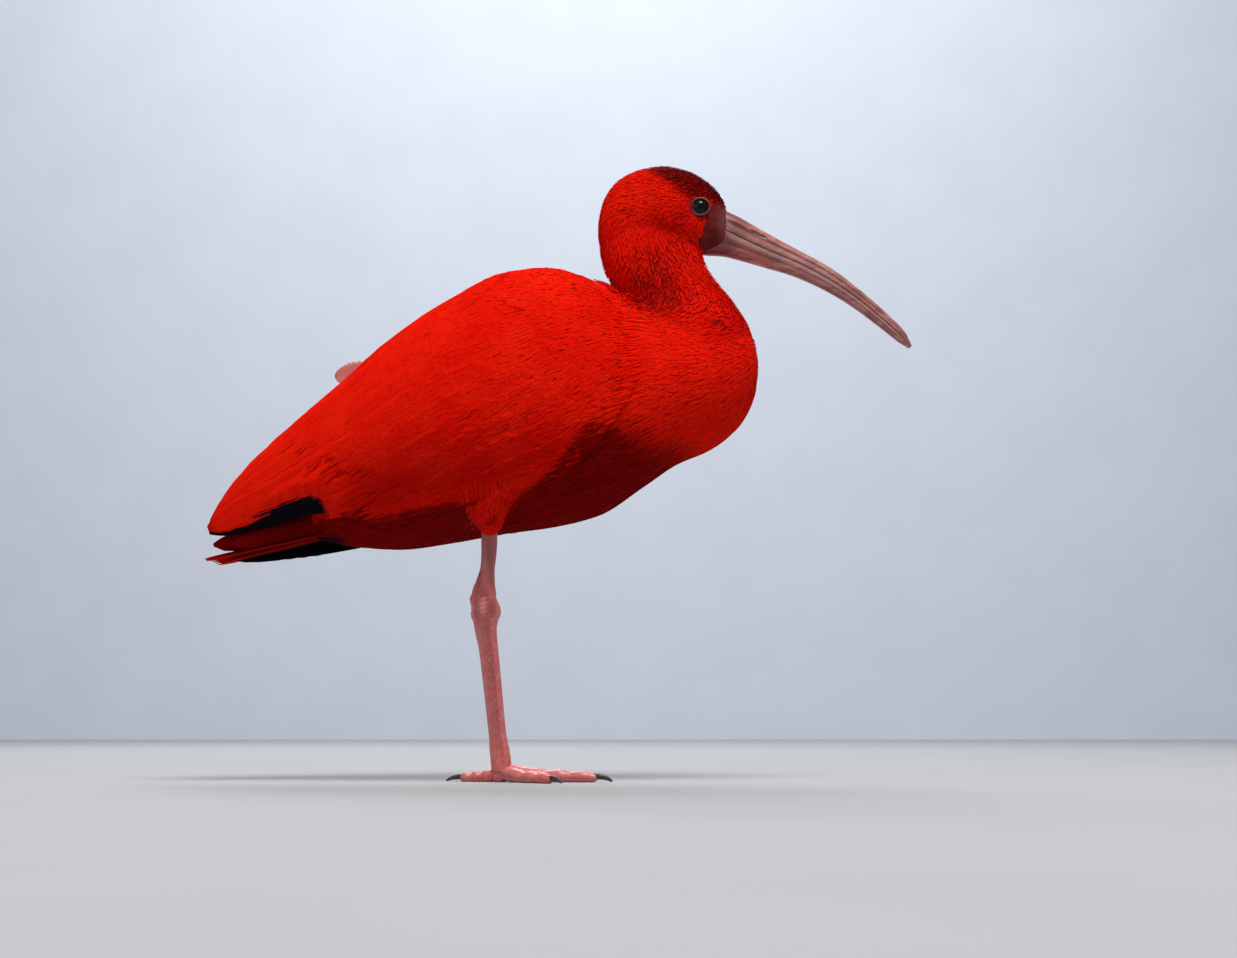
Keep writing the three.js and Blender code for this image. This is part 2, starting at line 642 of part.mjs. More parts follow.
// Takes nodes one after another: each new piece gives way, by the gap, to all those before it.
function fitter() {
  const nodes = [];
  let taken = [];
  const put = (name, body, grown, material) => {
    const free = taken.length ? body.subtract(union(taken)) : body;
    nodes.push({ name, body: largest(free), material });
    taken.push(grown);
  };
  return { nodes, put, grown: () => union(taken) };
}

// The standing leg: each toe ends in its claw, and the toes give way to the tarsus above them.
function rightLeg() {
  const { nodes, put, grown } = fitter();
  const scuted = union([legBone(TARSUS_RIGHT, 0, 10), ...scutes(TARSUS_RIGHT, 7, 0.3, 0.8)]);
  put("tarsus_right", scuted, legBone(TARSUS_RIGHT, GAP, 10), COLOURS.leg);
  put("shank_right", legBone(SHANK_RIGHT), legBone(SHANK_RIGHT, GAP), COLOURS.leg);
  put("thigh_right", legBone(THIGH_RIGHT, 0, 12), legBone(THIGH_RIGHT, GAP, 12), COLOURS.plumage);
  for (const toe of TOES) {
    const across = acrossToe(toe);
    const claw = clawLimb(clawRows(toe), across);
    put(`claw_right_${toe.name}`, onFloor(claw), clawLimb(clawRows(toe, GAP), across, GAP), COLOURS.claw);
  }
  for (const toe of TOES) {
    const across = acrossToe(toe);
    const extras = toe.name === "middle" ? [ball(), ...webs()] : [];
    const body = union([toeLimb(toeRows(toe), across), ...extras]);
    const grownBody = union([toeLimb(toeRows(toe), across, GAP), ...extras]);
    put(`toe_right_${toe.name}`, onFloor(body), grownBody, COLOURS.leg);
  }
  return { nodes, grown: grown() };
}

// The leg drawn up under the belly.
function leftLeg() {
  const { nodes, put, grown } = fitter();
  put("tarsus_left", legBone(TARSUS_LEFT), legBone(TARSUS_LEFT, GAP), COLOURS.leg);
  put("shank_left", legBone(SHANK_LEFT), legBone(SHANK_LEFT, GAP), COLOURS.leg);
  put("thigh_left", legBone(THIGH_LEFT), legBone(THIGH_LEFT, GAP), COLOURS.plumage);
  const digits = [
    ...FOLDED_TOES.map((toe) => [toe.name, (grow) => foldedToe(toe, grow), (grow) => foldedClaw(toe, grow)]),
    ["hind", (grow) => limb(HIND_LEFT, { grow }), (grow) => limb(HIND_CLAW_LEFT, { sides: 6, grow })],
  ];
  for (const [name, , claw] of digits) put(`claw_left_${name}`, claw(0), claw(GAP), COLOURS.claw);
  for (const [name, toe] of digits) put(`toe_left_${name}`, toe(0), toe(GAP), COLOURS.leg);
  return { nodes, grown: grown() };
}

// A folded wing: its solid core, and the vanes sunk into it that lie clear of the body.
function wing(side, legsGrown) {
  const blocked = union([bodyLoft(GAP), neckLoft(GAP)]).subtract(wingCore(side, { open: 9 }));
  const vanes = union(wingVanes(side)).subtract(union([blocked, legsGrown]));
  return union([wingCore(side), vanes]).trimByPlane([0, side, 0], GAP / 2 + 0.05);
}

function bill(grow = 0) {
  const upper = billHalf(1, grow);
  const lower = billHalf(-1, grow);
  return { upper: grow ? upper : upper.subtract(nostrils()), lower };
}

const group = new THREE.Group();
const add = (name, body, material) => group.add(meshOf(name, body, material));

const legs = [rightLeg(), leftLeg()];
const wingsGrown = union([RIGHT, LEFT].map((side) => wingCore(side, { grow: GAP })));
const recess = union([RIGHT, LEFT].map((side) => wingCore(side, { grow: GAP, open: 9 })));
const horn = bill();
const hornGrown = bill(GAP);

const trunk = union([bodyLoft(), neckLoft(), headLoft(), lids(RIGHT), lids(LEFT)]).subtract(union([
  recess, tailCore(GAP), legs[0].grown, legs[1].grown, hornGrown.upper, hornGrown.lower,
  eyeball(RIGHT, GAP), eyeball(LEFT, GAP),
]));
const [head, belowHead] = part(trunk, HEAD_CUT);
const [neck, belowNeck] = part(belowHead, NECK_CUT);
const [breast, torso] = part(belowNeck, BREAST_CUT);
add("head", head, COLOURS.head);
add("neck", neck, COLOURS.plumage);
add("breast", breast, COLOURS.plumage);
add("torso", torso, COLOURS.plumage);
add("bill_upper", horn.upper, COLOURS.bill);
add("bill_lower", horn.lower, COLOURS.bill);
for (const [side, name] of [[RIGHT, "right"], [LEFT, "left"]]) {
  add(`eye_${name}`, eyeball(side), COLOURS.eye);
  add(`wing_${name}`, wing(side, union([legs[0].grown, legs[1].grown])), COLOURS.wing);
}
const aroundTail = bodyLoft(GAP).subtract(tailCore(GAP));
add("tail", union([tailCore(), ...tailVanes()]).subtract(aroundTail), COLOURS.wing);
for (const { nodes } of legs) {
  for (const { name, body, material } of nodes) {
    const clear = name.startsWith("thigh") || name.startsWith("shank") ? body.subtract(wingsGrown) : body;
    add(name, clear, material);
  }
}

export default group;
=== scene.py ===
"""A scarlet ibis resting on one leg: skin, coat of feathers, folded wings, bill, eyes and scaled legs.

Tables are in millimetres in the frame of the CAD part (+X towards the bill, +Y the bird's left, +Z up).
"""
import math

import bmesh
import bpy
import numpy as np
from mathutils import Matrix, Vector
from mathutils.bvhtree import BVHTree


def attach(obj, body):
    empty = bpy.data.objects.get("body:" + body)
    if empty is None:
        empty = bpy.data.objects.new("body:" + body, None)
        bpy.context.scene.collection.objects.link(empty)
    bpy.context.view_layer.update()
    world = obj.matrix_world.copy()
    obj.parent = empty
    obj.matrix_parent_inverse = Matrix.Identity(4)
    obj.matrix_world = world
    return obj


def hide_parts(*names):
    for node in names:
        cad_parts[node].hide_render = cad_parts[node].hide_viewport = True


MM = 0.001
RIGHT, LEFT = -1, 1
SIDE_NAMES = {RIGHT: "right", LEFT: "left"}
# Shading values of every feather mesh
MARKS = ("tone", "ink", "dusk", "rose", "maroon")
# The lowest a foot reaches, one feather's size on the bake map, and the unit of the barb coordinates
FLOOR_GAP, BAKE_PATCH, BARB_UNIT = 0.02, 0.003, 10
rng = np.random.default_rng(11)

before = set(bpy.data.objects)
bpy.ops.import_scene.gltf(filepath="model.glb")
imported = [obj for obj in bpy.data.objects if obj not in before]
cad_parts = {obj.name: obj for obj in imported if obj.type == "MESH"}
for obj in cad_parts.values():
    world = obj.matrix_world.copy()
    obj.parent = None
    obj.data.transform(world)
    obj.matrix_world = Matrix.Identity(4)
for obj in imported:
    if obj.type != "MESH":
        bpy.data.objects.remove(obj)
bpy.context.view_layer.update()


# Curves and tables

def smooth(keys, values):
    """A curve through rising keys that never overshoots its values."""
    keys, values = np.asarray(keys, float), np.asarray(values, float)
    slopes = np.diff(values) / np.diff(keys)
    before = np.concatenate([slopes[:1], slopes])
    after = np.concatenate([slopes, slopes[-1:]])
    product = before * after
    total = np.where(np.abs(before + after) < 1e-12, 1, before + after)
    tangents = np.where(product > 0, 2 * product / total, 0)

    def curve(key):
        k = np.clip(key, keys[0], keys[-1])
        i = np.clip(np.searchsorted(keys, k, side="right") - 1, 0, len(keys) - 2)
        span = keys[i + 1] - keys[i]
        t = (k - keys[i]) / span
        a = values[i] * (1 + 2 * t) + tangents[i] * span * t
        b = values[i + 1] * (3 - 2 * t) - tangents[i + 1] * span * (1 - t)
        return a * (1 - t) ** 2 + b * t ** 2
    return curve


def table(rows):
    rows = sorted(rows)
    curves = [smooth([r[0] for r in rows], [r[c] for r in rows]) for c in range(1, len(rows[0]))]
    return lambda key: [curve(key) for curve in curves]


def lerp(a, b, t):
    return a + (b - a) * t


def step(low, high, value):
    """0 below low, 1 above high, and a soft ramp between."""
    t = np.clip((value - low) / (high - low), 0, 1)
    return t * t * (3 - 2 * t)


def power(value, exponent):
    return np.sign(value) * np.abs(value) ** exponent


def unit(vectors):
    length = np.linalg.norm(vectors, axis=-1, keepdims=True)
    return vectors / np.where(length < 1e-12, 1, length)


def blob(points, x, z, wide, high):
    """1 at a place seen from the side, with a soft fall all round."""
    return np.exp(-((points[:, 0] - x) / wide) ** 2 - ((points[:, 2] - z) / high) ** 2)


# Sizes, as in the CAD part. Trunk: x, height of back, widest line and belly, half width.
BODY = table([
    (-123, 163, 157, 150.5, 6), (-110, 200, 168, 147, 22), (-90, 238, 188, 143.5, 36),
    (-65, 271, 208, 142, 47), (-30, 297, 222, 146.5, 57), (0, 314, 230, 152, 61),
    (30, 320.5, 234, 156, 61.5), (60, 316, 238, 163.5, 60), (90, 302, 242, 183, 57),
    (110, 294, 246, 196.5, 52), (130, 290, 250, 205, 45), (148, 287, 254, 219, 34),
    (158, 280, 258, 236, 22), (162.5, 265, 260, 256, 5),
])
# Neck: z, rear, front, half width
NECK = table([
    (212, 70, 138, 26), (225, 66, 151, 36), (241, 64, 160, 42), (260, 64, 162.8, 43.5), (282, 68, 158, 39),
    (301, 74, 147, 32), (313, 68, 137.5, 27.5), (325, 62, 130, 24.5), (338, 59.5, 126, 22.5),
    (352, 62, 122, 20),
])
# Head: x, crown, widest line, chin, half width
HEAD = table([
    (59.5, 352, 348, 344, 4), (64, 370, 350, 332, 13), (74, 383, 353, 326, 18.5), (88, 389.5, 356, 325, 21),
    (102, 391.5, 358, 326, 21.3), (118, 388, 359, 330, 19.3), (130, 381, 358, 333, 16),
    (138, 372.5, 355, 334, 12.6), (142.3, 363, 350, 335.5, 9.8),
])
# Wing: x, ridge, widest line, drop, half width, angle where it starts, height of the lower edge
WING = table([
    (-183, 161, 155, 12, 9, 4, 150), (-155, 198, 168, 28, 22, 2.5, 149.5),
    (-128, 225, 181, 40, 33, 1.4, 152.5), (-95, 254, 197, 55, 46, 1, 156),
    (-65, 281, 212, 68, 56, 0.8, 160), (-30, 304, 225, 78, 64.5, 1.5, 166),
    (0, 318.5, 232, 81, 67.5, 7, 173), (30, 322, 236, 80, 67, 17, 182), (60, 317, 238, 76, 64, 32, 197),
    (84, 305, 241, 62, 59, 52, 216),
])
WING_FRONT, WING_TIP = 84, -183
# Share of the wing over which it opens from the bend, and the height of its core
WING_OPENS, WING_CORE = 0.16, 205
TAIL_ROOT, TAIL_TIP = np.array([-84, 0, 160.5]), np.array([-186, 0, 137])
EYE = np.array([124.5, 12.4, 360])
EYE_RADIUS = 7
# Bill: share of length, x, z, half depth above and below the middle line, half width
BILL = table([
    (0, 132, 351, 14, 15.5, 8.6), (0.08, 142.5, 347.5, 12.6, 13.2, 8.4), (0.17, 154, 342, 11.6, 10.6, 7.4),
    (0.28, 169, 335.2, 10, 8.6, 6.2), (0.42, 187, 327.6, 8, 7, 5), (0.56, 205, 318, 7.3, 5.8, 4.3),
    (0.7, 222, 306.6, 5.8, 4.9, 3.8), (0.84, 239, 292.6, 4.9, 4, 3.4), (0.94, 251.5, 281, 4, 3.2, 2.9),
    (1, 258.5, 273, 1.2, 1, 1.2),
])
# Legs: x, y, z, half depth, half width
THIGHS = {
    RIGHT: [(2, -42, 206, 24, 15), (-2, -40.5, 183, 19, 13), (-5, -34, 167, 13.5, 11),
            (-6.5, -24, 150, 6.4, 6)],
    LEFT: [(26, 40, 204, 20, 13), (2, 40, 189, 18, 11), (-22, 36.5, 175, 12, 9), (-40, 32.5, 166, 7, 6.6)],
}
SHANKS = {
    RIGHT: [(-6.3, -24, 166, 5, 4.8), (-6.6, -22, 148, 4.9, 4.6), (-8, -18.5, 131, 4.5, 4.1),
            (-9.2, -16.3, 122, 5.9, 4.9), (-10, -14.8, 114.5, 7.6, 5.9), (-9.8, -14.4, 106, 5, 4.6)],
    LEFT: [(-32, 33, 169, 4.8, 4.6), (-44, 31, 163.5, 4.8, 4.6), (-56, 28.8, 159.4, 4.6, 4.2),
           (-64, 27.6, 157, 5.8, 5), (-69, 27, 156, 5.8, 5)],
}
TARSI = {
    RIGHT: [(-9.9, -14.6, 118, 2.5, 2.2), (-10, -14.4, 113, 7.2, 5.8), (-9.4, -13.6, 104, 8.2, 6.6),
            (-9.2, -12.8, 95, 7.0, 5.8), (-7.5, -11, 82, 6.0, 4.9), (-4.6, -7.2, 55, 5.6, 4.5),
            (-2, -3.8, 30, 5.4, 4.6), (-0.4, -1.9, 17, 6.2, 6), (0.6, -1.2, 9, 6.3, 6.7),
            (1, -1, 3.5, 5, 5.6)],
    LEFT: [(-71.5, 27.2, 154.9, 2.5, 2.2), (-69, 27, 155.7, 6.4, 5.4), (-63, 27, 156, 6.8, 5.8),
           (-54, 27, 156, 5.2, 4.6), (-36, 27.2, 157, 4.6, 4), (-10, 27.4, 160.4, 4.6, 4),
           (10, 27.6, 163, 4.8, 4.3), (21, 27.8, 165, 5.4, 5.8), (28, 28, 166.6, 4.2, 4.8)],
}
# Toes of the standing foot: bearing, length, radius at the root
TOES = {"middle": (-9, 60, 4.6), "inner": (24, 46, 4.3), "outer": (-48, 48, 4.2), "hind": (168, 27, 3.9)}
TOE_SHAPE = [(0.02, 1.5, 1.15, 1.15), (0.2, 1.1, 1.0, 0.94), (0.36, 0.9, 1.0, 1.04), (0.48, 0.8, 0.8, 0.8),
             (0.6, 0.82, 0.94, 0.98), (0.72, 0.7, 0.7, 0.7), (0.84, 0.74, 0.82, 0.86), (0.94, 0.62, 0.6, 0.6),
             (1, 0.6, 0.4, 0.42)]
CLAW_LENGTH = 9
# Toes of the leg drawn up: how far aside, share of the longest, radius
FOLDED = {"inner": (-7.6, 0.8, 3.9), "middle": (0, 1, 4.1), "outer": (7.6, 0.84, 3.9)}
FOLDED_SHAPE = [(0.05, 0.9), (0.2, 1), (0.4, 0.86), (0.55, 0.95), (0.75, 0.78), (0.88, 0.84), (1, 0.5)]
FOLDED_HIND = [(20, 22, 164, 3.4, 3.2), (13, 19.5, 161, 3.3, 3.1), (5, 18, 158.4, 2.8, 2.7),
               (0, 17.6, 157.2, 1.6, 1.6)]
FOLDED_HIND_CLAW = [(2, 17.8, 157.6, 1.4, 1.2), (-2, 17.4, 156, 1.3, 1.1), (-6, 17.2, 155.2, 0.9, 0.8),
                    (-8.5, 17.2, 155.4, 0.35, 0.3)]


# Mesh building: shapes are (points, faces) in millimetres

def grid_faces(along, across, closed):
    i = np.arange(along - 1)[:, None]
    j = np.arange(across if closed else across - 1)[None, :]
    k = (j + 1) % across
    faces = [i * across + j, i * across + k, (i + 1) * across + k, (i + 1) * across + j]
    return np.stack(faces, -1).reshape(-1, 4).tolist()


def tube(rings):
    """A closed tube through rings of like counts, rings being (along, sides, 3)."""
    along, sides, _ = rings.shape
    last = (along - 1) * sides
    ends = [list(range(sides))[::-1], list(range(last, last + sides))]
    return rings.reshape(-1, 3), grid_faces(along, sides, True) + ends


def above_floor(rings):
    rings[..., 2] = np.maximum(rings[..., 2], FLOOR_GAP)
    return tube(rings)


def sheet(top, bottom):
    """A closed sheet between two grids of points, its faces in one array."""
    along, across, _ = top.shape
    count = along * across
    index = np.arange(count).reshape(along, across)
    rim = np.concatenate([index[:, 0], index[-1, 1:], index[-2::-1, -1], index[0, -2:0:-1]])
    after = np.roll(rim, -1)
    face = np.array(grid_faces(along, across, False))
    edge = np.stack([rim, after, after + count, rim + count], -1)
    points = np.concatenate([top.reshape(-1, 3), bottom.reshape(-1, 3)])
    return points, np.concatenate([face, face[:, ::-1] + count, edge])


def joined(shapes):
    points, faces, start = [], [], 0
    for p, f in shapes:
        points.append(p)
        faces += [[v + start for v in face] for face in f]
        start += len(p)
    return np.concatenate(points), faces


def put(name, data):
    """A new object in the scene."""
    thing = bpy.data.objects.new(name, data)
    bpy.context.scene.collection.objects.link(thing)
    return thing


def build(name, shape, materials, slot, *nodes, recalc=True, shade=True):
    """A mesh object from a shape in millimetres: it rides on the body and stands for the nodes named."""
    points, faces = shape
    mesh = bpy.data.meshes.new(name)
    mesh.from_pydata((np.asarray(points) * MM).tolist(), [], faces)
    mesh.validate()
    piece = put(name, mesh)
    for material in materials:
        mesh.materials.append(material)
    if recalc:
        bm = bmesh.new()
        bm.from_mesh(mesh)
        bmesh.ops.recalc_face_normals(bm, faces=bm.faces)
        bm.to_mesh(mesh)
        bm.free()
    if shade:
        mesh.shade_smooth()
    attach(piece, "root")
    if nodes:
        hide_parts(*nodes)
    return piece


def ring_angles(sides):
    return 2 * np.pi * np.arange(sides) / sides


def trunk_rings(at, start, end, grow):
    x = lerp(start, end, np.linspace(0, 1, 90))[:, None]
    crown, widest, chin, half = at(x)
    angle = ring_angles(72)[None, :]
    rise = np.cos(angle)
    reach = np.where(rise > 0, crown - widest, widest - chin) + grow
    shift = np.zeros_like(x)
    shift[0], shift[-1] = -grow, grow
    y = (half + grow) * power(np.sin(angle), 0.94)
    return np.stack(np.broadcast_arrays(x + shift, y, widest + reach * power(rise, 0.97)), -1)


def neck_rings(grow):
    z = np.linspace(212, 352, 60)[:, None]
    rear, front, half = NECK(z)
    angle = ring_angles(64)[None, :]
    x = (front + rear) / 2 + ((front - rear) / 2 + grow) * np.cos(angle)
    return np.stack(np.broadcast_arrays(x, (half + grow) * np.sin(angle), z), -1)


def limb(rows, sides=32, spacing=1.0, across=(0, 1, 0), relief=None, grow=0.0):
    """A limb along rows of x, y, z, half depth and half width; relief(along, angle, radius) raises scales."""
    rows, across = np.array(rows, float), np.array(across, float)
    chord = np.concatenate([[0], np.cumsum(np.linalg.norm(np.diff(rows[:, :3], axis=0), axis=1))])
    along = np.linspace(0, chord[-1], max(4, int(chord[-1] / spacing)))
    x, y, z, depth, width = [smooth(chord, rows[:, c])(along) for c in range(5)]
    middle = np.stack([x, y, z], -1)
    ahead = unit(np.gradient(middle, axis=0))
    side = unit(across[None, :] - (ahead @ across)[:, None] * ahead)
    out = np.cross(side, ahead)
    angle = ring_angles(sides)[None, :]
    if relief is not None:
        grow = grow + relief(along[:, None], angle, ((depth + width) / 2)[:, None])[..., None]
    angle = angle[..., None]
    ends = np.minimum(1, np.sqrt(np.minimum(along, chord[-1] - along) / (0.6 * depth) + 0.02))[:, None, None]
    return middle[:, None] + ends * ((depth[:, None, None] + grow) * np.cos(angle) * out[:, None]
                                     + (width[:, None, None] + grow) * np.sin(angle) * side[:, None])


def hexes(a, b, pitch):
    """Domed six-sided scales over a plane: 1 on a scale, 0 in the furrows."""
    nearest = np.full(np.broadcast(a, b).shape, 9.0)
    for offset in (0.0, 0.5):
        u = a / pitch - offset
        v = b / (pitch * math.sqrt(3)) - offset
        nearest = np.minimum(nearest, np.hypot(u - np.round(u), (v - np.round(v)) * math.sqrt(3)))
    return 1 - np.clip(nearest / 0.56, 0, 1) ** 5


def shield(along, pitch):
    """A row of plates, each highest towards its lower edge."""
    t = along / pitch % 1
    return (0.45 + 0.55 * t) * (1 - np.clip(np.abs(2 * t - 1), 0, 1) ** 9)


def bump_at(along, turn, centre, reach, wide):
    return np.exp(-((along - centre) / reach) ** 2 - (turn / wide) ** 2)


def tarsus_relief(along, angle, radius):
    """Plates down the front, small scales behind, and the lumps and folds of the ankle at its top."""
    rear = np.angle(np.exp(1j * angle))
    turn = np.angle(np.exp(1j * (angle - np.pi)))
    front = step(1.25, 0.95, np.abs(turn))
    column = shield(along + np.where(turn > 0, 0, 2.6), 5.2) * (1 - 0.8 * np.exp(-(turn / 0.08) ** 2))
    scales = 0.34 * front * column + 0.13 * (1 - front) * hexes(angle * radius, along, 2.5) - 0.12
    lumps = (1.7 * bump_at(along, rear, 5, 4.5, 0.75) + 1.5 * bump_at(along, turn, 14, 5, 0.8)
             + 0.9 * bump_at(along, np.abs(rear) - 1.5, 11, 6, 0.5)
             + 0.9 * bump_at(along, rear, 16, 3.5, 0.6))
    folds = 0.11 * np.sin(along * 2.3 + 1.6 * np.sin(angle * 2)) * step(24, 12, along)
    return scales * step(6, 20, along) + lumps + folds


def toe_relief(along, angle, radius):
    """Plates along the top of a toe, small scales under it."""
    turn = np.abs(np.angle(np.exp(1j * angle)))
    top = step(1.3, 1.0, turn)
    return 0.42 * top * shield(along, 2.7) + 0.16 * (1 - top) * hexes(angle * radius, along, 1.7) - 0.15


def shank_relief(along, angle, radius):
    folds = 0.22 * np.sin(angle * 3 + along * 0.15) * step(2, 12, along)
    return 0.12 * hexes(angle * radius, along, 2.3) + folds - 0.1


# Materials

class Paint:
    """A material under way: colours are laid over its base one by one."""

    def __init__(self, name, base, roughness, settings=None):
        self.material = bpy.data.materials.new(name)
        self.material.use_nodes = True
        self.tree = self.material.node_tree
        self.sockets = self.tree.nodes["Principled BSDF"].inputs
        self.base = base
        for key, value in {"Roughness": roughness, **(settings or {})}.items():
            self.sockets[key].default_value = value

    def node(self, kind, output, inputs=None, **settings):
        """A new node with its inputs set or linked; gives back one of its outputs."""
        node = self.tree.nodes.new(kind)
        for key, value in settings.items():
            setattr(node, key, value)
        for key, value in (inputs or {}).items():
            if isinstance(value, bpy.types.NodeSocket):
                self.tree.links.new(value, node.inputs[key])
            else:
                node.inputs[key].default_value = value
        return node.outputs[output]

    def math(self, operation, *values):
        return self.node("ShaderNodeMath", 0, dict(enumerate(values)), operation=operation)

    def mix(self, factor, a, b):
        return self.node("ShaderNodeMix", 2, {0: factor, 6: a, 7: b}, data_type="RGBA")

    def mark(self, name):
        """A shading value that is written on the mesh."""
        return self.node("ShaderNodeAttribute", "Fac", attribute_name=name)

    def noise(self, scale, detail=3, roughness=0.55, stretch=None):
        vector = self.node("ShaderNodeTexCoord", "Object")
        if stretch:
            vector = self.node("ShaderNodeMapping", "Vector", {"Vector": vector, "Scale": stretch})
        inputs = {"Vector": vector, "Scale": scale, "Detail": detail, "Roughness": roughness}
        return self.node("ShaderNodeTexNoise", "Fac", inputs)

    def over(self, shade, factor, *span):
        """Lays a colour over the base by a factor, or by a soft ramp of it: low, high, and what they give."""
        if span:
            inputs = dict(zip(("Value", "From Min", "From Max", "To Min", "To Max"), (factor, *span, 0, 1)))
            factor = self.node("ShaderNodeMapRange", "Result", inputs, interpolation_type="SMOOTHSTEP")
        self.base = self.mix(factor, self.base, shade)

    def finish(self, height=None, distance=0.0, strength=1.0):
        self.tree.links.new(self.base, self.sockets["Base Color"])
        if height is not None:
            inputs = {"Height": height, "Distance": distance, "Strength": strength}
            self.tree.links.new(self.node("ShaderNodeBump", "Normal", inputs), self.sockets["Normal"])
        return self.material


SCARLET = (0.76, 0.004, 0.001, 1)
DEEP = (0.40, 0.0015, 0.001, 1)
BRIGHT = (0.90, 0.020, 0.005, 1)
# Dark feather roots, also laid as painted shade on belly, tail and the feathers below the wing's edge
DUSK = (0.038, 0.003, 0.003, 1)
INK = (0.003, 0.0035, 0.006, 1)
# Deep red of the crown, also laid as painted shade on belly, lower wing, cheek and neck
MAROON = (0.085, 0.001, 0.001, 1)
ROSE = (0.55, 0.21, 0.20, 1)


def feather_material(name, barb, roughness, sheen):
    """Feathers: barbs across each vane, its own tone, dusky roots, inked tips and painted shade of belly,
    wing, neck and tail, where the mesh says so.
    """
    paint = Paint(name, DEEP, roughness, {"Sheen Weight": sheen, "Sheen Roughness": 0.45,
                                          "Sheen Tint": (1, 0.07, 0.04, 1), "Specular IOR Level": 0})
    vane = paint.node("ShaderNodeUVMap", "UV", uv_map="vane")
    across, along = [paint.node("ShaderNodeSeparateXYZ", axis, {"Vector": vane}) for axis in "XY"]
    slant = paint.math("MULTIPLY_ADD", paint.math("ABSOLUTE", across), -0.8, along)
    slant = paint.math("MULTIPLY_ADD", paint.noise(160, 2), 0.35, slant)
    barbs = paint.math("SINE", paint.math("MULTIPLY", slant, barb))
    paint.over(BRIGHT, paint.mark("tone"), 0, 1)
    paint.over(SCARLET, 0.55)
    paint.over(BRIGHT, paint.noise(38), 0.35, 0.7, 0, 0.35)
    paint.over(DEEP, paint.noise(420, 2), 0.4, 0.8, 0, 0.3)
    paint.over(DEEP, barbs, -1, 1, 0, 0.16)
    # Dark crown and roots, painted shade, the pale feather and the black tips
    for mark, shade in (("maroon", MAROON), ("dusk", DUSK), ("rose", ROSE), ("ink", INK)):
        paint.over(shade, paint.mark(mark))
    return paint.finish(barbs, 0.00012, 0.35)


def skin_material():
    """Skin under the coat, and the bare dusky face round the eye and the bill."""
    paint = Paint("skin", DEEP, 0.6, {"Specular IOR Level": 0.05, "Specular Tint": (1, 0.5, 0.45, 1)})
    wrinkles, blotch = paint.noise(700, 4, 0.6), paint.noise(150)
    paint.over(SCARLET, blotch, 0.3, 0.7)
    # The dark crown, and the painted shade of the belly, on the skin between feathers
    paint.over(MAROON, paint.mark("maroon"))
    under, paint.base = paint.base, (0.09, 0.009, 0.008, 1)
    paint.over((0.17, 0.019, 0.016, 1), blotch, 0.35, 0.65)
    paint.over((0.055, 0.009, 0.009, 1), wrinkles, 0.45, 0.75, 0, 0.5)
    paint.over((0.20, 0.042, 0.037, 1), paint.mark("pale"))
    paint.over((0.10, 0.058, 0.054, 1), paint.mark("slate"))
    paint.base = paint.mix(paint.mark("bare"), under, paint.base)
    return paint.finish(wrinkles, 0.0005, 0.6)


def leg_material():
    paint = Paint("leg_skin", (0.60, 0.115, 0.105, 1), 0.38,
                  {"Specular IOR Level": 0.6, "Coat Weight": 0.18, "Coat Roughness": 0.3})
    fine = paint.noise(900)
    place = paint.node("ShaderNodeTexCoord", "Object")
    paint.over((0.70, 0.20, 0.185, 1), paint.noise(120, 4), 0.35, 0.7)
    # Painted shade in the furrows between the scales
    paint.over((0.26, 0.028, 0.026, 1), paint.mark("raised"), 0, 0.9, 0.7, 0)
    # Pale flecks from a fine noise, painted highlights
    paint.over((0.80, 0.36, 0.33, 1), fine, 0.5, 0.8, 0, 0.35)
    # Painted shade: the leg darker from 108 mm up, most above 138 mm, under the body
    height = paint.node("ShaderNodeSeparateXYZ", "Z", {"Vector": place})
    paint.over((0.24, 0.040, 0.038, 1), height, 0.108, 0.138, 0, 0.6)
    return paint.finish(fine, 0.0002, 0.5)


def bill_material():
    paint = Paint("bill_horn", (0.38, 0.082, 0.072, 1), 0.38, {"Coat Weight": 0.12, "Coat Roughness": 0.3})
    along, streaks = paint.mark("along"), paint.noise(260, 4, 0.6, (0.25, 1, 1))
    paint.over((0.36, 0.125, 0.108, 1), along, 0, 0.6)
    paint.over((0.17, 0.045, 0.04, 1), paint.noise(95, 4, 0.6), 0.35, 0.7, 0, 0.75)
    paint.over((0.58, 0.27, 0.235, 1), streaks, 0.42, 0.7, 0, 0.6)
    paint.over((0.17, 0.033, 0.029, 1), along, 0.075, 0.23, 1, 0)
    # Painted shade in the grooves, the nostril and along the gape
    paint.over((0.045, 0.014, 0.013, 1), paint.mark("groove_shade"))
    paint.over((0.58, 0.40, 0.37, 1), paint.mark("pale"))
    return paint.finish(streaks, 0.0003, 0.5)


def eye_material():
    paint = Paint("eye_wet", (0.006, 0.003, 0.002, 1), 0.05,
                  {"Specular IOR Level": 0.16, "Coat Weight": 0.08, "Coat Roughness": 0.02})
    paint.over((0.013, 0.006, 0.004, 1), paint.noise(900), 0.3, 0.7)
    paint.base = paint.mix(paint.mark("iris"), (0.002, 0.002, 0.002, 1), paint.base)
    return paint.finish()


def grained_material(name, first, second, roughness, specular, grain, span, bump=()):
    """Two colours mixed by a noise, which may also roughen the surface."""
    paint = Paint(name, first, roughness, {"Specular IOR Level": specular})
    pattern = paint.noise(*grain)
    paint.over(second, pattern, *span)
    return paint.finish(pattern, *bump) if bump else paint.finish()


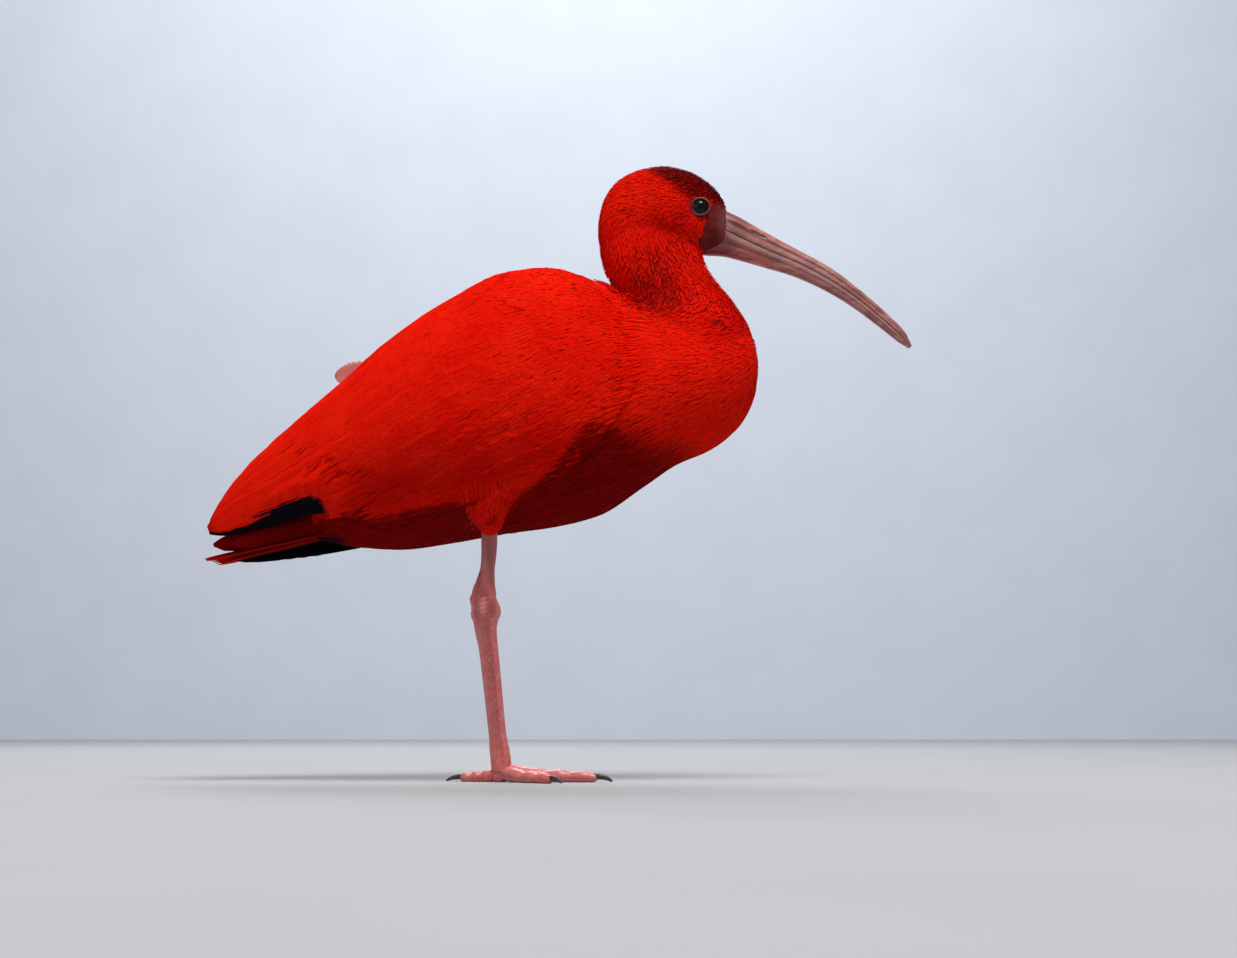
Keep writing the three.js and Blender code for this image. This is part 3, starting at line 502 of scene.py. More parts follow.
COAT = feather_material("body_feathers", 26, 0.66, 0.14)
DOWN = feather_material("neck_feathers", 18, 0.75, 0.10)
VANE = feather_material("flight_feathers", 46, 0.55, 0.08)
SKIN, LEG, HORN, WET = skin_material(), leg_material(), bill_material(), eye_material()
CLAW = grained_material("claw_horn", (0.02, 0.013, 0.012, 1), (0.075, 0.045, 0.04, 1), 0.35, 0.5,
                        (500,), (0.3, 0.7), (0.0002, 0.4))
LID = grained_material("eyelid", (0.07, 0.014, 0.012, 1), (0.15, 0.038, 0.032, 1), 0.5, 0.4,
                       (1100,), (0.35, 0.7), (0.0003, 0.6))


def write_attribute(mesh, name, values, domain="POINT"):
    layer = mesh.attributes.new(name, "FLOAT", domain)
    layer.data.foreach_set("value", np.ascontiguousarray(values, dtype=np.float32).ravel())


# Wing surface: u from bend to tip, v from top edge to lower edge

def wing_share(points):
    return (WING_FRONT - points[:, 0]) / (WING_FRONT - WING_TIP)


def wing_section(x, u):
    """The wing's table at x, the first, last and middle angle of its section, and how far it has opened."""
    ridge, widest, drop, half, start, edge = WING(x)
    first = np.radians(start)
    last = np.arccos(np.clip((edge - widest) / drop, -1, 1))
    bend = np.sqrt(np.clip(1 - (1 - np.maximum(u, 0.002) / WING_OPENS) ** 2, 0, 1))
    opened = lerp(0.12, 1, np.where(u < WING_OPENS, bend, 1))
    return ridge, widest, drop, half, first, last, lerp(first, last, 0.45), opened


def wing_point(side, u, v, height=0.0):
    u, v, height = np.broadcast_arrays(u, v, height)
    x = lerp(WING_FRONT, WING_TIP, u)
    ridge, widest, drop, half, first, last, middle, opened = wing_section(x, u)
    angle = middle + (lerp(first, last, v) - middle) * opened
    rise = np.cos(angle)
    up = np.where(rise > 0, ridge - widest, drop) + height
    return np.stack([x, side * (half + height) * np.sin(angle), widest + up * rise], -1)


def wing_cover(points):
    """How far a point is inside the wing's outline, in share of its section: above 0 is covered."""
    _, y, z = points.T
    u = wing_share(points)
    ridge, widest, drop, half, first, last, middle, opened = wing_section(points[:, 0], u)
    rise = (z - widest) / np.where(z > widest, ridge - widest, drop)
    angle = np.arctan2(np.abs(y) / half, rise)
    v = ((angle - middle) / opened + middle - first) / (last - first)
    return np.where((u > 0) & (u < 1), np.minimum(v - 0.02, 0.97 - v), -1)


def drift(points, size):
    """A soft wandering pattern over the body, between -1 and 1."""
    waves = np.random.default_rng(int(size * 7))
    total = np.zeros(len(points))
    for _ in range(7):
        way = waves.normal(0, 1 / size, 3)
        total += np.sin(points @ way + waves.uniform(0, 6.3))
    return total / 4


def wing_relief(points):
    """The long soft edges of the feathers under the small ones, running back and down over the wing."""
    x, _, z = points.T
    along, across = -0.85 * x - 0.527 * z, -0.527 * x + 0.85 * z
    t = (across + 2.5 * drift(points, 40)) / 12.5 + 0.3 * np.sin(along / 31) + 0.15 * np.sin(along / 13)
    rows = (along + 3 * drift(points, 25)) / 33 + 0.25 * np.sin(across / 7)
    edge = (t % 1) ** 2 * (0.45 + 0.35 * drift(points, 30)) + 0.3 * (rows % 1) ** 3
    return edge * step(60, 30, x)


def wing_height(side, u, v):
    """The relief over a grid of the wing, sinking into the body at the bend."""
    flat = wing_point(side, u, v, 0.6)
    relief = wing_relief(flat.reshape(-1, 3)).reshape(flat.shape[:2])
    return relief - 3.6 * step(0.2, -0.01, u)


def wing_bed(side):
    """The wing's own body under its feathers."""
    u = (0.004 + 0.7 * np.linspace(0, 1, 110) ** 1.3)[:, None]
    v = np.linspace(0.03, 0.96, 60)[None, :]
    thick = 1.8 + lerp(6.5, 1.6, np.minimum(1, u / 0.74) ** 0.8) * np.sin(np.pi * v) ** 0.7
    thick = thick * lerp(1, 0.3, step(0.6, 0.7, u))
    high = lerp(-1.7, 0.35 + wing_height(side, u, v), step(0.60, 0.46, u))
    low = -1.7 - thick - 3.6 * step(0.2, -0.01, u)
    points, faces = sheet(wing_point(side, u, v, high), wing_point(side, u, v, low))
    return points, faces.tolist()


# Large vanes: wing and tail feathers laid along a surface

def vane_outline(s, pointed):
    body = 0.4 + 0.6 * np.minimum(1, s / 0.4) ** 0.7
    start = 1 - pointed
    tip = np.where(s > start, np.sqrt(np.clip(1 - ((s - start) / (pointed + 0.004)) ** 2, 0, 1)), 1)
    return body * np.maximum(tip, 0.05)


class Vanes:
    """Gathers large vanes into one mesh, with their barb coordinates, shades and bake patches."""

    def __init__(self, box, place=None):
        self.place, self.corner, self.spread = place, np.array(box[:2]), np.array(box[2:])
        self.points, self.faces, self.uv, self.patch = [], [], [], []
        self.values = {mark: [] for mark in MARKS}
        self.count = 0

    def add(self, root, tip, half, height, along, across, thick, pointed, camber, tear=0, bend=0, **marks):
        """One vane from root to tip of the surface; a mark is a number or a function of its middle and s."""
        s, t = np.linspace(0, 1, along), np.linspace(-1, 1, across)
        u = lerp(root[0], tip[0], s)
        v = lerp(root[1], tip[1], s) + bend * np.sin(np.pi * s)
        high = lerp(height[0], height[1], s ** 0.7)
        middle = self.place(u, v, high)
        out = unit(self.place(u, v, high + 4) - middle)
        ahead = unit(np.gradient(middle, axis=0))
        aside = unit(np.cross(out, ahead))
        out = np.cross(ahead, aside)
        wide = half * vane_outline(s, pointed)
        ragged = 1 + 0.05 * np.sin(s * 60 + rng.uniform(0, 6)) * (s > 0.3)
        ragged = ragged - tear * rng.random(along) * (s > 0.4)
        shift = (wide * ragged)[:, None] * t[None, :]
        sweep = 0.35 * np.abs(t) ** 1.5 * wide[:, None] * step(1.0, 0.6, s)[:, None]
        lift = -camber * (t[None, :] ** 2) * (wide[:, None] / half) + 0.22 * np.exp(-(t[None, :] / 0.16) ** 2)
        top = (middle[:, None] + aside[:, None] * shift[..., None] + out[:, None] * lift[..., None]
               + ahead[:, None] * sweep[..., None])
        gap = thick * np.clip(1.1 - np.abs(t), 0.25, 1)[None, :, None] * lerp(1, 0.5, s)[:, None, None]
        points, faces = sheet(top, top - out[:, None] * gap)
        self.points.append(points)
        self.faces.append(faces + self.count)
        self.count += len(points)
        length = np.linalg.norm(middle[-1] - middle[0])
        grid = [g.ravel() for g in np.broadcast_arrays(t[None, :], s[:, None])]
        self.uv += [np.stack([grid[0] * half / BARB_UNIT, grid[1] * length / BARB_UNIT], -1)] * 2
        local = np.stack([(grid[0] + 1) / 2, grid[1]], -1)
        self.patch += [self.corner + np.array(root) * self.spread + BAKE_PATCH * local] * 2
        for mark in MARKS:
            value = marks.get(mark, 0.0)
            if callable(value):
                value = value(middle, s)[:, None]
            self.values[mark] += [np.broadcast_to(value, (along, across)).ravel()] * 2

    def build(self, name, *nodes):
        shape = np.concatenate(self.points), np.concatenate(self.faces).tolist()
        piece = build(name, shape, [VANE], "flight_feathers", *nodes, recalc=False)
        values = {mark: np.concatenate(value) for mark, value in self.values.items()}
        finish_coat(piece.data, np.concatenate(self.uv), np.concatenate(self.patch), values)


def finish_coat(mesh, barbs, patches, values):
    """Writes the two UV maps and the shading values of a coat piece."""
    corners = np.empty(len(mesh.loops), dtype=np.int32)
    mesh.loops.foreach_get("vertex_index", corners)
    for name, coordinates in (("OFBake", patches), ("vane", barbs)):
        layer = mesh.uv_layers.new(name=name)
        layer.data.foreach_set("uv", coordinates[corners].astype(np.float32).ravel())
    for name, value in values.items():
        write_attribute(mesh, name, value)


# Skin

def remeshed(shape, voxel, rounds):
    """The shapes' outer surface as one mesh, in millimetres."""
    piece = build("skin_draft", shape, [], None)
    remesh = piece.modifiers.new("one_skin", "REMESH")
    remesh.mode = "VOXEL"
    remesh.voxel_size = voxel * MM
    soften = piece.modifiers.new("soften", "SMOOTH")
    soften.factor, soften.iterations = 0.5, rounds
    evaluated = piece.evaluated_get(bpy.context.evaluated_depsgraph_get())
    mesh = evaluated.to_mesh()
    points = np.empty(len(mesh.vertices) * 3)
    mesh.vertices.foreach_get("co", points)
    faces = [list(face.vertices) for face in mesh.polygons]
    evaluated.to_mesh_clear()
    bpy.data.objects.remove(piece)
    return points.reshape(-1, 3) / MM, faces


COAT_DEPTH = {"body": 2.0, "neck": 1.6, "head": 0.9, "thigh": 1.5}
flesh = joined([
    tube(trunk_rings(BODY, -123, 162.5, -COAT_DEPTH["body"])),
    tube(neck_rings(-COAT_DEPTH["neck"])),
    tube(trunk_rings(HEAD, 59.5, 142.3, -COAT_DEPTH["head"])),
    *[tube(limb(THIGHS[side], grow=-COAT_DEPTH["thigh"])) for side in (RIGHT, LEFT)],
])
trunk = remeshed(flesh, 1.15, 6)
trunk_tree = BVHTree.FromPolygons(trunk[0].tolist(), trunk[1])


def toe_rows(bearing, length, radius, shape=TOE_SHAPE):
    turn = math.radians(bearing)
    return [(1 + length * s * math.cos(turn), -1 + length * s * math.sin(turn),
             radius * r, radius * d, radius * w) for s, r, d, w in shape]


def claw_rows(bearing, length, radius):
    past = CLAW_LENGTH / length
    shape = [(0.93, 0.78, 0.42, 0.4), (1, 0.8, 0.42, 0.36), (1 + past * 0.45, 0.66, 0.34, 0.26),
             (1 + past * 0.8, 0.36, 0.22, 0.16), (1 + past, 0.12, 0.1, 0.08)]
    return toe_rows(bearing, length, radius, shape)


def folded_point(aside, along):
    spread = aside * min(1, 0.35 + along * 1.3)
    return (29 + 42 * along, 28 + spread - 2 * along, 167.5 + 9 * along + 4 * along ** 2)


def folded_rows(aside, share, radius):
    return [(*folded_point(aside, a * share), radius * r, radius * r * 0.9) for a, r in FOLDED_SHAPE]


def folded_claw_rows(aside, share):
    rows = [(0.96, 1.7), (1.06, 1.4), (1.16, 0.9), (1.24, 0.35)]
    points = [folded_point(aside, a * share) for a, _ in rows]
    return [(x, y, z - 0.9 * i, r, r * 0.8) for i, ((x, y, z), (_, r)) in enumerate(zip(points, rows))]


def across_toe(bearing):
    return (-math.sin(math.radians(bearing)), math.cos(math.radians(bearing)), 0)


leg_rings = []
for side in (RIGHT, LEFT):
    leg_rings.append(limb(SHANKS[side], 44, 0.45, relief=shank_relief))
    leg_rings.append(limb(TARSI[side], 56, 0.4, relief=tarsus_relief))
for toe in TOES.values():
    leg_rings.append(limb(toe_rows(*toe), 40, 0.35, across_toe(toe[0]), relief=toe_relief))
for rows in [folded_rows(*toe) for toe in FOLDED.values()] + [FOLDED_HIND]:
    leg_rings.append(limb(rows, 32, 0.45, relief=toe_relief))
BALL_RADIUS = 5.4
ball_turn, ball_rise = np.meshgrid(ring_angles(40), np.linspace(-1.5, 1.5, 24))
leg_rings.append(np.stack([BALL_RADIUS * np.cos(ball_rise) * np.cos(ball_turn),
                           -1 + BALL_RADIUS * np.cos(ball_rise) * np.sin(ball_turn),
                           4.3 + BALL_RADIUS * np.sin(ball_rise)], -1))


def web(first, second):
    """The small web of skin between two front toes."""
    a, b = [np.array(toe_rows(*TOES[name], [(s, 0.75, 0, 0) for s in np.linspace(0.05, 0.5, 12)]))[:, :3]
            for name in (first, second)]
    t = np.linspace(0, 1, 14)[None, :, None]
    sag = np.sin(np.pi * t) * np.linspace(0, 1, 12)[:, None, None]
    sheet = a[:, None] * (1 - t) + b[:, None] * t - np.array([9, 0, 0]) * sag
    sheet[..., 2] -= 0.8 * sag[..., 0]
    upper, lower = sheet + [0, 0, 0.6], sheet - [0, 0, 0.5]
    return np.concatenate([upper, lower[:, ::-1]], axis=1)


leg_rings += [web("inner", "middle"), web("middle", "outer")]
legs = joined([above_floor(rings) for rings in leg_rings])


FACE_REAR = smooth([328, 333, 337, 340, 344, 350, 354, 358, 362, 366],
                   [131, 128, 123.5, 122.8, 125, 127.5, 128.5, 130.5, 132, 135])
SKIN_OF_EYE = EYE + [0, 5, 0]


def bare_face(points):
    """1 where the face has no feathers, 0 under the coat."""
    x, y, z = points.T
    ragged = 0.5 * np.sin(z * 2.3) + 0.4 * np.sin(z * 5.1 + 1)
    ahead = x - FACE_REAR(z) + ragged
    upper = 366.5 - 0.35 * (x - 130) - z
    eye = np.linalg.norm(np.stack([x, np.abs(y), z], -1) - SKIN_OF_EYE, axis=1)
    return np.maximum(step(-0.7, 0.7, np.minimum(ahead, upper)) * (z > 322), step(7.6, 6.6, eye))


# The wing's lower edge; the belly below it is painted in shade
SHADE_EDGE = smooth([-130, -99, -70, -47, -22, 16, 37, 53.5, 66, 80, 100, 125],
                    [150, 163, 164.5, 169, 173, 175, 191, 209.5, 221, 216, 209, 205])


def belly_shade(points):
    """Painted shade on the feathers and skin of the belly, below the lower edge of the wing."""
    x, z = points[..., 0], points[..., 2]
    soft = lerp(2, 12, step(60, 90, x))
    return step(soft, -soft, z - SHADE_EDGE(x)) * step(-128, -112, x) * step(138, 118, x)


def slate(points):
    """The grey patch of the lores, between eye and bill."""
    return 0.75 * blob(points, 140.5, 352, 4.5, 4.2)


CROWN_EDGE = smooth([90, 98, 106, 112, 119, 130, 142], [390, 382, 376, 371, 366, 364.5, 360])


def crown(points):
    """The dark, deep red front of the crown."""
    x, _, z = points.T
    return step(-5, 6, z - CROWN_EDGE(x)) * step(84, 104, x)


def on_thigh(points):
    """1 on the feathered cone of the right thigh, below the wing."""
    level = points[:, 2]
    x, y, z, depth, width = np.array(THIGHS[RIGHT][::-1], float).T
    away = np.hypot((points[:, 0] - np.interp(level, z, x)) / (np.interp(level, z, depth) + 1),
                    (points[:, 1] - np.interp(level, z, y)) / (np.interp(level, z, width) + 1))
    return step(1.12, 1.0, away) * step(188, 180, level)


def under_marks(points):
    """The dark front of the crown, and the painted shade of the belly below the wing, on the skin under the
    coat.
    """
    return np.maximum(crown(points), 0.9 * belly_shade(points) * (1 - on_thigh(points)))


def beside_bill(points):
    """The paler skin where the face runs into the bill."""
    return 0.8 * step(133, 141.5, points[:, 0])


skin = build("skin", joined([trunk, legs]), [SKIN, LEG], "body_feathers", "head", "neck", "breast", "torso",
             *[f"{part}_{name}" for part in ("thigh", "shank", "tarsus") for name in SIDE_NAMES.values()],
             *[f"toe_{s}_{n}" for s in SIDE_NAMES.values() for n in TOES])
leg_faces = np.arange(len(skin.data.polygons)) >= len(trunk[1])
skin.data.polygons.foreach_set("material_index", leg_faces.astype(np.int32))
for key, shade in (("bare", bare_face), ("slate", slate), ("maroon", under_marks), ("pale", beside_bill)):
    write_attribute(skin.data, key, np.concatenate([shade(trunk[0]), np.zeros(len(legs[0]))]))
# How far each point of the legs stands out from its ring; the leg material paints the furrows darker as shade
heights = []
for rings in leg_rings:
    reach = np.linalg.norm(rings - rings.mean(axis=1, keepdims=True), axis=-1)
    around = np.stack([np.roll(reach, k, axis=1) for k in (-3, -2, 2, 3)]).mean(axis=0)
    heights.append(np.clip((reach - around) / 0.25 + 0.6, 0, 1).ravel())
write_attribute(skin.data, "raised", np.concatenate([np.zeros(len(trunk[0])), *heights]))


# Small feathers over the skin

NEIGHBOURS = [(dx, dy, dz) for dx in (-1, 0, 1) for dy in (-1, 0, 1) for dz in (-1, 0, 1)]
# Spots that are tried for each cell of the spacing
TRIES = 5


def apart(p, q, spacing):
    return (p[0] - q[0]) ** 2 + (p[1] - q[1]) ** 2 + (p[2] - q[2]) ** 2 > spacing ** 2


def scatter(spacing, inside, shape=None):
    """Points on a shape, or on the trunk's skin, no closer than the spacing, with their normals."""
    points, faces = shape or trunk
    quads = np.array([f if len(f) == 4 else f + [f[2]] for f in faces])
    a, b, c, d = (points[quads[:, k]] for k in range(4))
    cross = np.cross(c - a, d - b)
    weight = np.where(inside((a + b + c + d) / 4), np.linalg.norm(cross, axis=1) / 2, 0)
    count = int(weight.sum() / spacing ** 2 * TRIES)
    pick = rng.choice(len(quads), count, p=weight / weight.sum())
    s, t = rng.random((2, count, 1))
    spots = lerp(lerp(a[pick], b[pick], s), lerp(d[pick], c[pick], s), t)
    cells, kept = {}, []
    keys = np.floor(spots / spacing).astype(int)
    for i, (key, spot) in enumerate(zip(map(tuple, keys), spots)):
        x, y, z = key
        crowd = [cells.get((x + dx, y + dy, z + dz)) for dx, dy, dz in NEIGHBOURS]
        if all(p is None or apart(p, spot, spacing) for p in crowd):
            cells[key] = spot
            kept.append(i)
    return spots[kept], unit(cross[pick])[kept]


def turned(flow, way, share):
    """Flow, turned another way by a share for each point."""
    return flow * (1 - share)[:, None] + np.array(way) * share[:, None]


def lie(points, normals):
    """The way feathers point over the skin: back over head and trunk, down over neck and thighs."""
    x, _, z = points.T
    on_neck = step(275, 312, z) * step(366, 340, z) * np.maximum(step(60, 84, x), step(321, 330, z))
    on_head = step(346, 362, z)
    flow = turned(np.array([-1, 0, -0.38]), [0.12, 0, -1], on_neck)
    flow = turned(flow, [-1, 0, -0.5], on_head)
    flow = turned(flow, [-0.2, 0, -1], on_head * step(80, 62, x))
    flow = turned(flow, [-0.1, 0, -1], on_thigh(points))
    return unit(flow - (flow * normals).sum(1, keepdims=True) * normals)


def bake_place(points):
    """Where a point of the trunk lies on an unwrap of the skin round its long axis."""
    x, y, z = points.T
    _, widest, _, _ = BODY(x)
    high = step(300, 330, z) * (x > 50)
    centre_x = lerp(20.0, 95.0, high)
    turn = np.arctan2(y, z - lerp(widest, 350.0, high)) / (2 * np.pi) + 0.5
    along = (x + 130) / 300
    body_uv = np.stack([0.01 + 0.44 * turn, 0.01 + 0.6 * np.clip(along, 0, 1)], -1)
    ring = np.arctan2(y, x - centre_x) / (2 * np.pi) + 0.5
    head_uv = np.stack([0.01 + 0.44 * ring, 0.64 + 0.34 * np.clip((z - 300) / 95, 0, 1)], -1)
    return np.where(high[:, None] > 0.5, head_uv, body_uv)


def wing_surface(side):
    """What the small feathers of a wing lie on, from bend to tip and over its edges."""
    u, v = np.linspace(-0.002, 0.86, 170)[:, None], np.linspace(-0.02, 1.0, 90)[None, :]
    return wing_point(side, u, v, 0.9 + wing_height(side, u, v)).reshape(-1, 3), grid_faces(170, 90, False)


tucked = [tube(limb(rows, 24, 1.0)) for rows in (SHANKS[LEFT], TARSI[LEFT])]
surfaces = joined([trunk, wing_surface(RIGHT), wing_surface(LEFT), *tucked])
outer_tree = BVHTree.FromPolygons(surfaces[0].tolist(), surfaces[1])


def on_trunk(target, _):
    place, normal, _, _ = trunk_tree.find_nearest(target)
    return place, normal


# How far above a feather's spot the ray for its place starts, and how deep it reaches
RAY_ABOVE, RAY_LENGTH = 7, 12


def on_body(target, normal):
    """The trunk, or the wing where it lies over the trunk."""
    place, out, _, _ = outer_tree.ray_cast(target + normal * RAY_ABOVE, -normal, RAY_LENGTH)
    return on_trunk(target, normal) if place is None else (place, normal)


# A blade's root lies this deep in the skin, and its ridge stands up by this share of its half width
ROOT_DEPTH, RIDGE = 0.35, 0.07


def coat(name, spots, normals, length, width, lift, material, rows, spread, curl=0.0, flow=None,
         onto=on_trunk, patch=None, tone=0.0, slot="body_feathers", **marks):
    """Small feathers: closed slim blades that follow the skin from root to tip and overlap the next ones."""
    count, size = len(spots), rows * 3
    flow = lie(spots, normals) if flow is None else flow
    patch = bake_place(spots) if patch is None else patch
    turn = (rng.normal(0, spread, count) + 0.1 * drift(spots, 16))[:, None]
    flow = unit(flow * np.cos(turn) + np.cross(normals, flow) * np.sin(turn))
    length, width, lift = (np.broadcast_to(v, count).astype(float) for v in (length, width, lift))
    length = length * rng.uniform(0.82, 1.15, count)
    s = np.linspace(0, 1, rows)
    middle, out = np.empty((2, count, rows, 3))
    for k, share in enumerate(s):
        target = spots + flow * (length * share)[:, None]
        for i in range(count):
            middle[i, k], out[i, k] = onto(target[i], normals[i])
    out = unit(0.5 * out + 0.5 * normals[:, None])
    rise = -ROOT_DEPTH + (lift[:, None] + ROOT_DEPTH) * s ** 0.8 + curl * s ** 3
    middle += out * rise[..., None]
    half = width[:, None] * np.interp(s, [0, 0.25, 0.55, 0.8, 1], [0.5, 0.85, 1, 0.75, 0.1])
    side = unit(np.cross(out, unit(np.gradient(middle, axis=1)))) * half[..., None]
    ridge = middle + out * (RIDGE * half + 0.05)[..., None]
    drop = out * (RIDGE * half)[..., None]
    points = np.stack([middle + side - drop, ridge, middle - side - drop], 2).reshape(-1, 3)
    starts = np.arange(count)[:, None, None] * size
    faces = []
    for part in (grid_faces(rows, 3, True), [[2, 1, 0], [size - 3, size - 2, size - 1]]):
        faces += (np.array(part) + starts).reshape(-1, len(part[0])).tolist()
    t, along = np.tile([-1.0, 0.0, 1.0], rows), np.repeat(s, 3)
    barbs = np.stack([t * width[:, None] / BARB_UNIT, along * length[:, None] / BARB_UNIT], -1)
    patches = patch[:, None] + BAKE_PATCH * np.stack([(t + 1) / 2, along], -1)
    shade = rng.uniform(0.36, 0.64, count) + 0.22 * drift(spots, 22) + tone
    values = {mark: np.zeros((count, size)) for mark in MARKS}
    values["tone"] = np.clip(shade[:, None] + 0.16 * (along - 0.5), 0, 1)
    for mark, value in marks.items():
        fade = np.clip(1.25 - along * 0.9, 0, 1) if mark == "dusk" else np.ones(size)
        values[mark] = value[:, None] * fade
    piece = build(name, (points, faces), [material], slot, recalc=False, shade=False)
    finish_coat(piece.data, barbs.reshape(-1, 2), patches.reshape(-1, 2), values)


def over_neck(points):
    """How far points are above the line between head and neck."""
    return points[:, 2] - (337 + 0.14 * (points[:, 0] - 94))


def head_zone(points):
    return (over_neck(points) > 0) & (bare_face(points) < 0.5)


def neck_zone(points):
    x, _, z = points.T
    return (x > 55) & (z > 262) & (x + z > 374) & (over_neck(points) < 0) & (bare_face(points) < 0.5)


def body_zone(points):
    """The trunk's open skin: not under a wing, and below head and neck."""
    covered = wing_cover(points) > np.where(points[:, 0] > 56, 0.16, 0.05)
    return ~(covered | neck_zone(points) | (points[:, 2] > 325))


# Places with dark roots: x, z, width, height, strength (shoulder, cheek, throat, jaw, ear)
DUSKY_PLACES = [(96, 297, 16, 10, 1.25), (96, 318, 13, 14, 0.8), (144, 288, 9, 20, 0.5),
                (112, 338, 9, 7, 0.7), (82, 358, 4.5, 2.6, 1.2)]


def dusk_roots(spots, share, least):
    """Dark roots on some of the feathers of head and neck, more in the dusky places."""
    likely = np.clip(sum(blob(spots, *place) * strength for *place, strength in DUSKY_PLACES), 0, 1)
    return (rng.random(len(spots)) < likely * share) * rng.uniform(least, 1, len(spots))


def head_coat():
    spots, normals = scatter(1.1, head_zone)
    dark, count = crown(spots), len(spots)
    maroon = np.clip(dark * rng.uniform(0.6, 1.5, count), 0, 0.98)
    # Painted shade on the cheek, behind and below the eye, laid over the dark crown
    cheek = blob(spots, 105, 350, 13, 9)
    maroon = np.maximum(maroon, 0.75 * cheek * rng.uniform(0.6, 1, count))
    length = lerp(3.0, 6.0, step(118, 70, spots[:, 0])) * lerp(1, 1.2, dark)
    coat("feathers_head", spots, normals, length, 0.5, 0.6, DOWN, 4, 0.26, curl=0.2, slot="head",
         maroon=maroon, dusk=dusk_roots(spots, 0.7, 0.4))


def neck_coat(name, inside):
    spots, normals = scatter(1.5, inside)
    rough = step(272, 300, spots[:, 2])
    dusk = dusk_roots(spots, 0.85, 0.5)
    # Painted shade on the middle of the neck, under the head
    maroon = 0.5 * blob(spots, 98, 310, 20, 26) * rng.uniform(0.6, 1.2, len(spots))
    coat(name, spots, normals, lerp(9, 6.6, rough), lerp(0.85, 0.62, rough), lerp(0.35, 0.9, rough), DOWN, 5,
         0.24, curl=0.3 * rough.mean(), slot="head", dusk=dusk, maroon=maroon)


def trunk_coat(name, inside):
    spots, normals = scatter(1.9, inside)
    x, _, z = spots.T
    small = on_thigh(spots)
    # Painted shade: the underside darker in tone, with darker roots, below 212 mm, and the belly dark below
    # the wing's lower edge
    under = step(212, 176, z) * (1 - small)
    length = lerp(10.5, 18, step(-60, -118, x)) * lerp(1, 0.5, small)
    dusk = under * rng.uniform(0.0, 0.25, len(x))
    maroon = belly_shade(spots) * (1 - small) * rng.uniform(0.74, 0.92, len(x))
    ink = step(-84, -92, x) * step(153, 149, z)
    coat(name, spots, normals, length, lerp(1, 0.7, small), 0.36, COAT, 5, 0.1, onto=on_body,
         tone=-0.3 * under, dusk=dusk, maroon=maroon, ink=ink)


def shoulder_coat():
    """Longer feathers of the breast that lie back over the front edge of the wing."""
    edge = smooth([192, 212, 244, 275, 300], [41, 62, 83, 86, 84])

    def ahead_of_wing(points):
        x, y, z = points.T
        ahead = x - edge(z)
        return (z > 205) & (z < 300) & (np.abs(y) > 25) & (ahead > 0) & (ahead < 13)

    spots, normals = scatter(2.5, ahead_of_wing)
    # Painted shade below the wing's lower edge, as on the belly
    coat("feathers_shoulder", spots, normals, 17, 1.05, 0.7, COAT, 7, 0.12, onto=on_body,
         maroon=belly_shade(spots) * rng.uniform(0.6, 0.85, len(spots)))


head_coat()
neck_coat("feathers_neck_upper", lambda p: neck_zone(p) & (p[:, 2] > 303))
neck_coat("feathers_neck_lower", lambda p: neck_zone(p) & (p[:, 2] <= 303))
trunk_coat("feathers_breast", lambda p: body_zone(p) & (p[:, 0] > 84))
trunk_coat("feathers_back", lambda p: body_zone(p) & (p[:, 0] <= 84) & (p[:, 2] > 232))
shoulder_coat()
trunk_coat("feathers_belly", lambda p: body_zone(p) & (p[:, 0] <= 84) & (p[:, 2] <= 232))


# Wings and tail

def wing_ink(middle, _):
    return step(2, -3, middle[:, 0] + 99 + 2.2 * (middle[:, 2] - 164.5))


# Painted shade on the large wing feathers below the wing's lower edge
def under_wing_painted_shade(middle, _):
    return 0.75 * belly_shade(middle)

WING_ROWS = [
    # count, root line, tip line, half width, heights, along, across, shape of tip, black
    (10, ((0.5, 0.77), (0.46, 0.86)), ((0.995, 0.87), (0.75, 0.86)), 4.8, (-3.0, -1.0), 26, 7, 0.2, True),
    (9, ((0.46, 0.62), (0.38, 0.78)), ((0.93, 0.72), (0.775, 0.75)), 7.0, (-2.0, -0.4), 24, 7, 0.18, False),
    (9, ((0.38, 0.78), (0.3, 0.92)), ((0.75, 0.80), (0.63, 1.0)), 6.6, (-2.0, -0.4), 22, 7, 0.25, False),
    (8, ((0.42, 0.08), (0.44, 0.60)), ((0.985, 0.14), (0.985, 0.72)), 9.5, (-1.4, 0.5), 28, 9, 0.2, False),
    (14, ((0.38, 0.28), (0.12, 0.9)), ((0.76, 0.40), (0.42, 1.0)), 8.0, (-1.2, 0.4), 18, 7, 0.24, False),
    (10, ((0.28, 0.3), (0.07, 0.84)), ((0.58, 0.38), (0.28, 0.93)), 7.4, (-1.6, 0.1), 14, 7, 0.32, False),
    (9, ((0.2, 0.28), (0.52, 0.08)), ((0.46, 0.34), (0.88, 0.12)), 9.5, (-1.4, 0.6), 18, 7, 0.26, False),
    (8, ((0.08, 0.3), (0.40, 0.06)), ((0.32, 0.30), (0.72, 0.08)), 9.5, (-1.6, 0.4), 16, 7, 0.3, False),
]
WING_FLOW = np.array([-1, 0, -0.62])
# Bake map: corner, and how far the vanes' roots spread over it
WING_BOXES = {RIGHT: (0.5, 0.02, 0.4, 0.4), LEFT: (0.5, 0.5, 0.4, 0.4)}


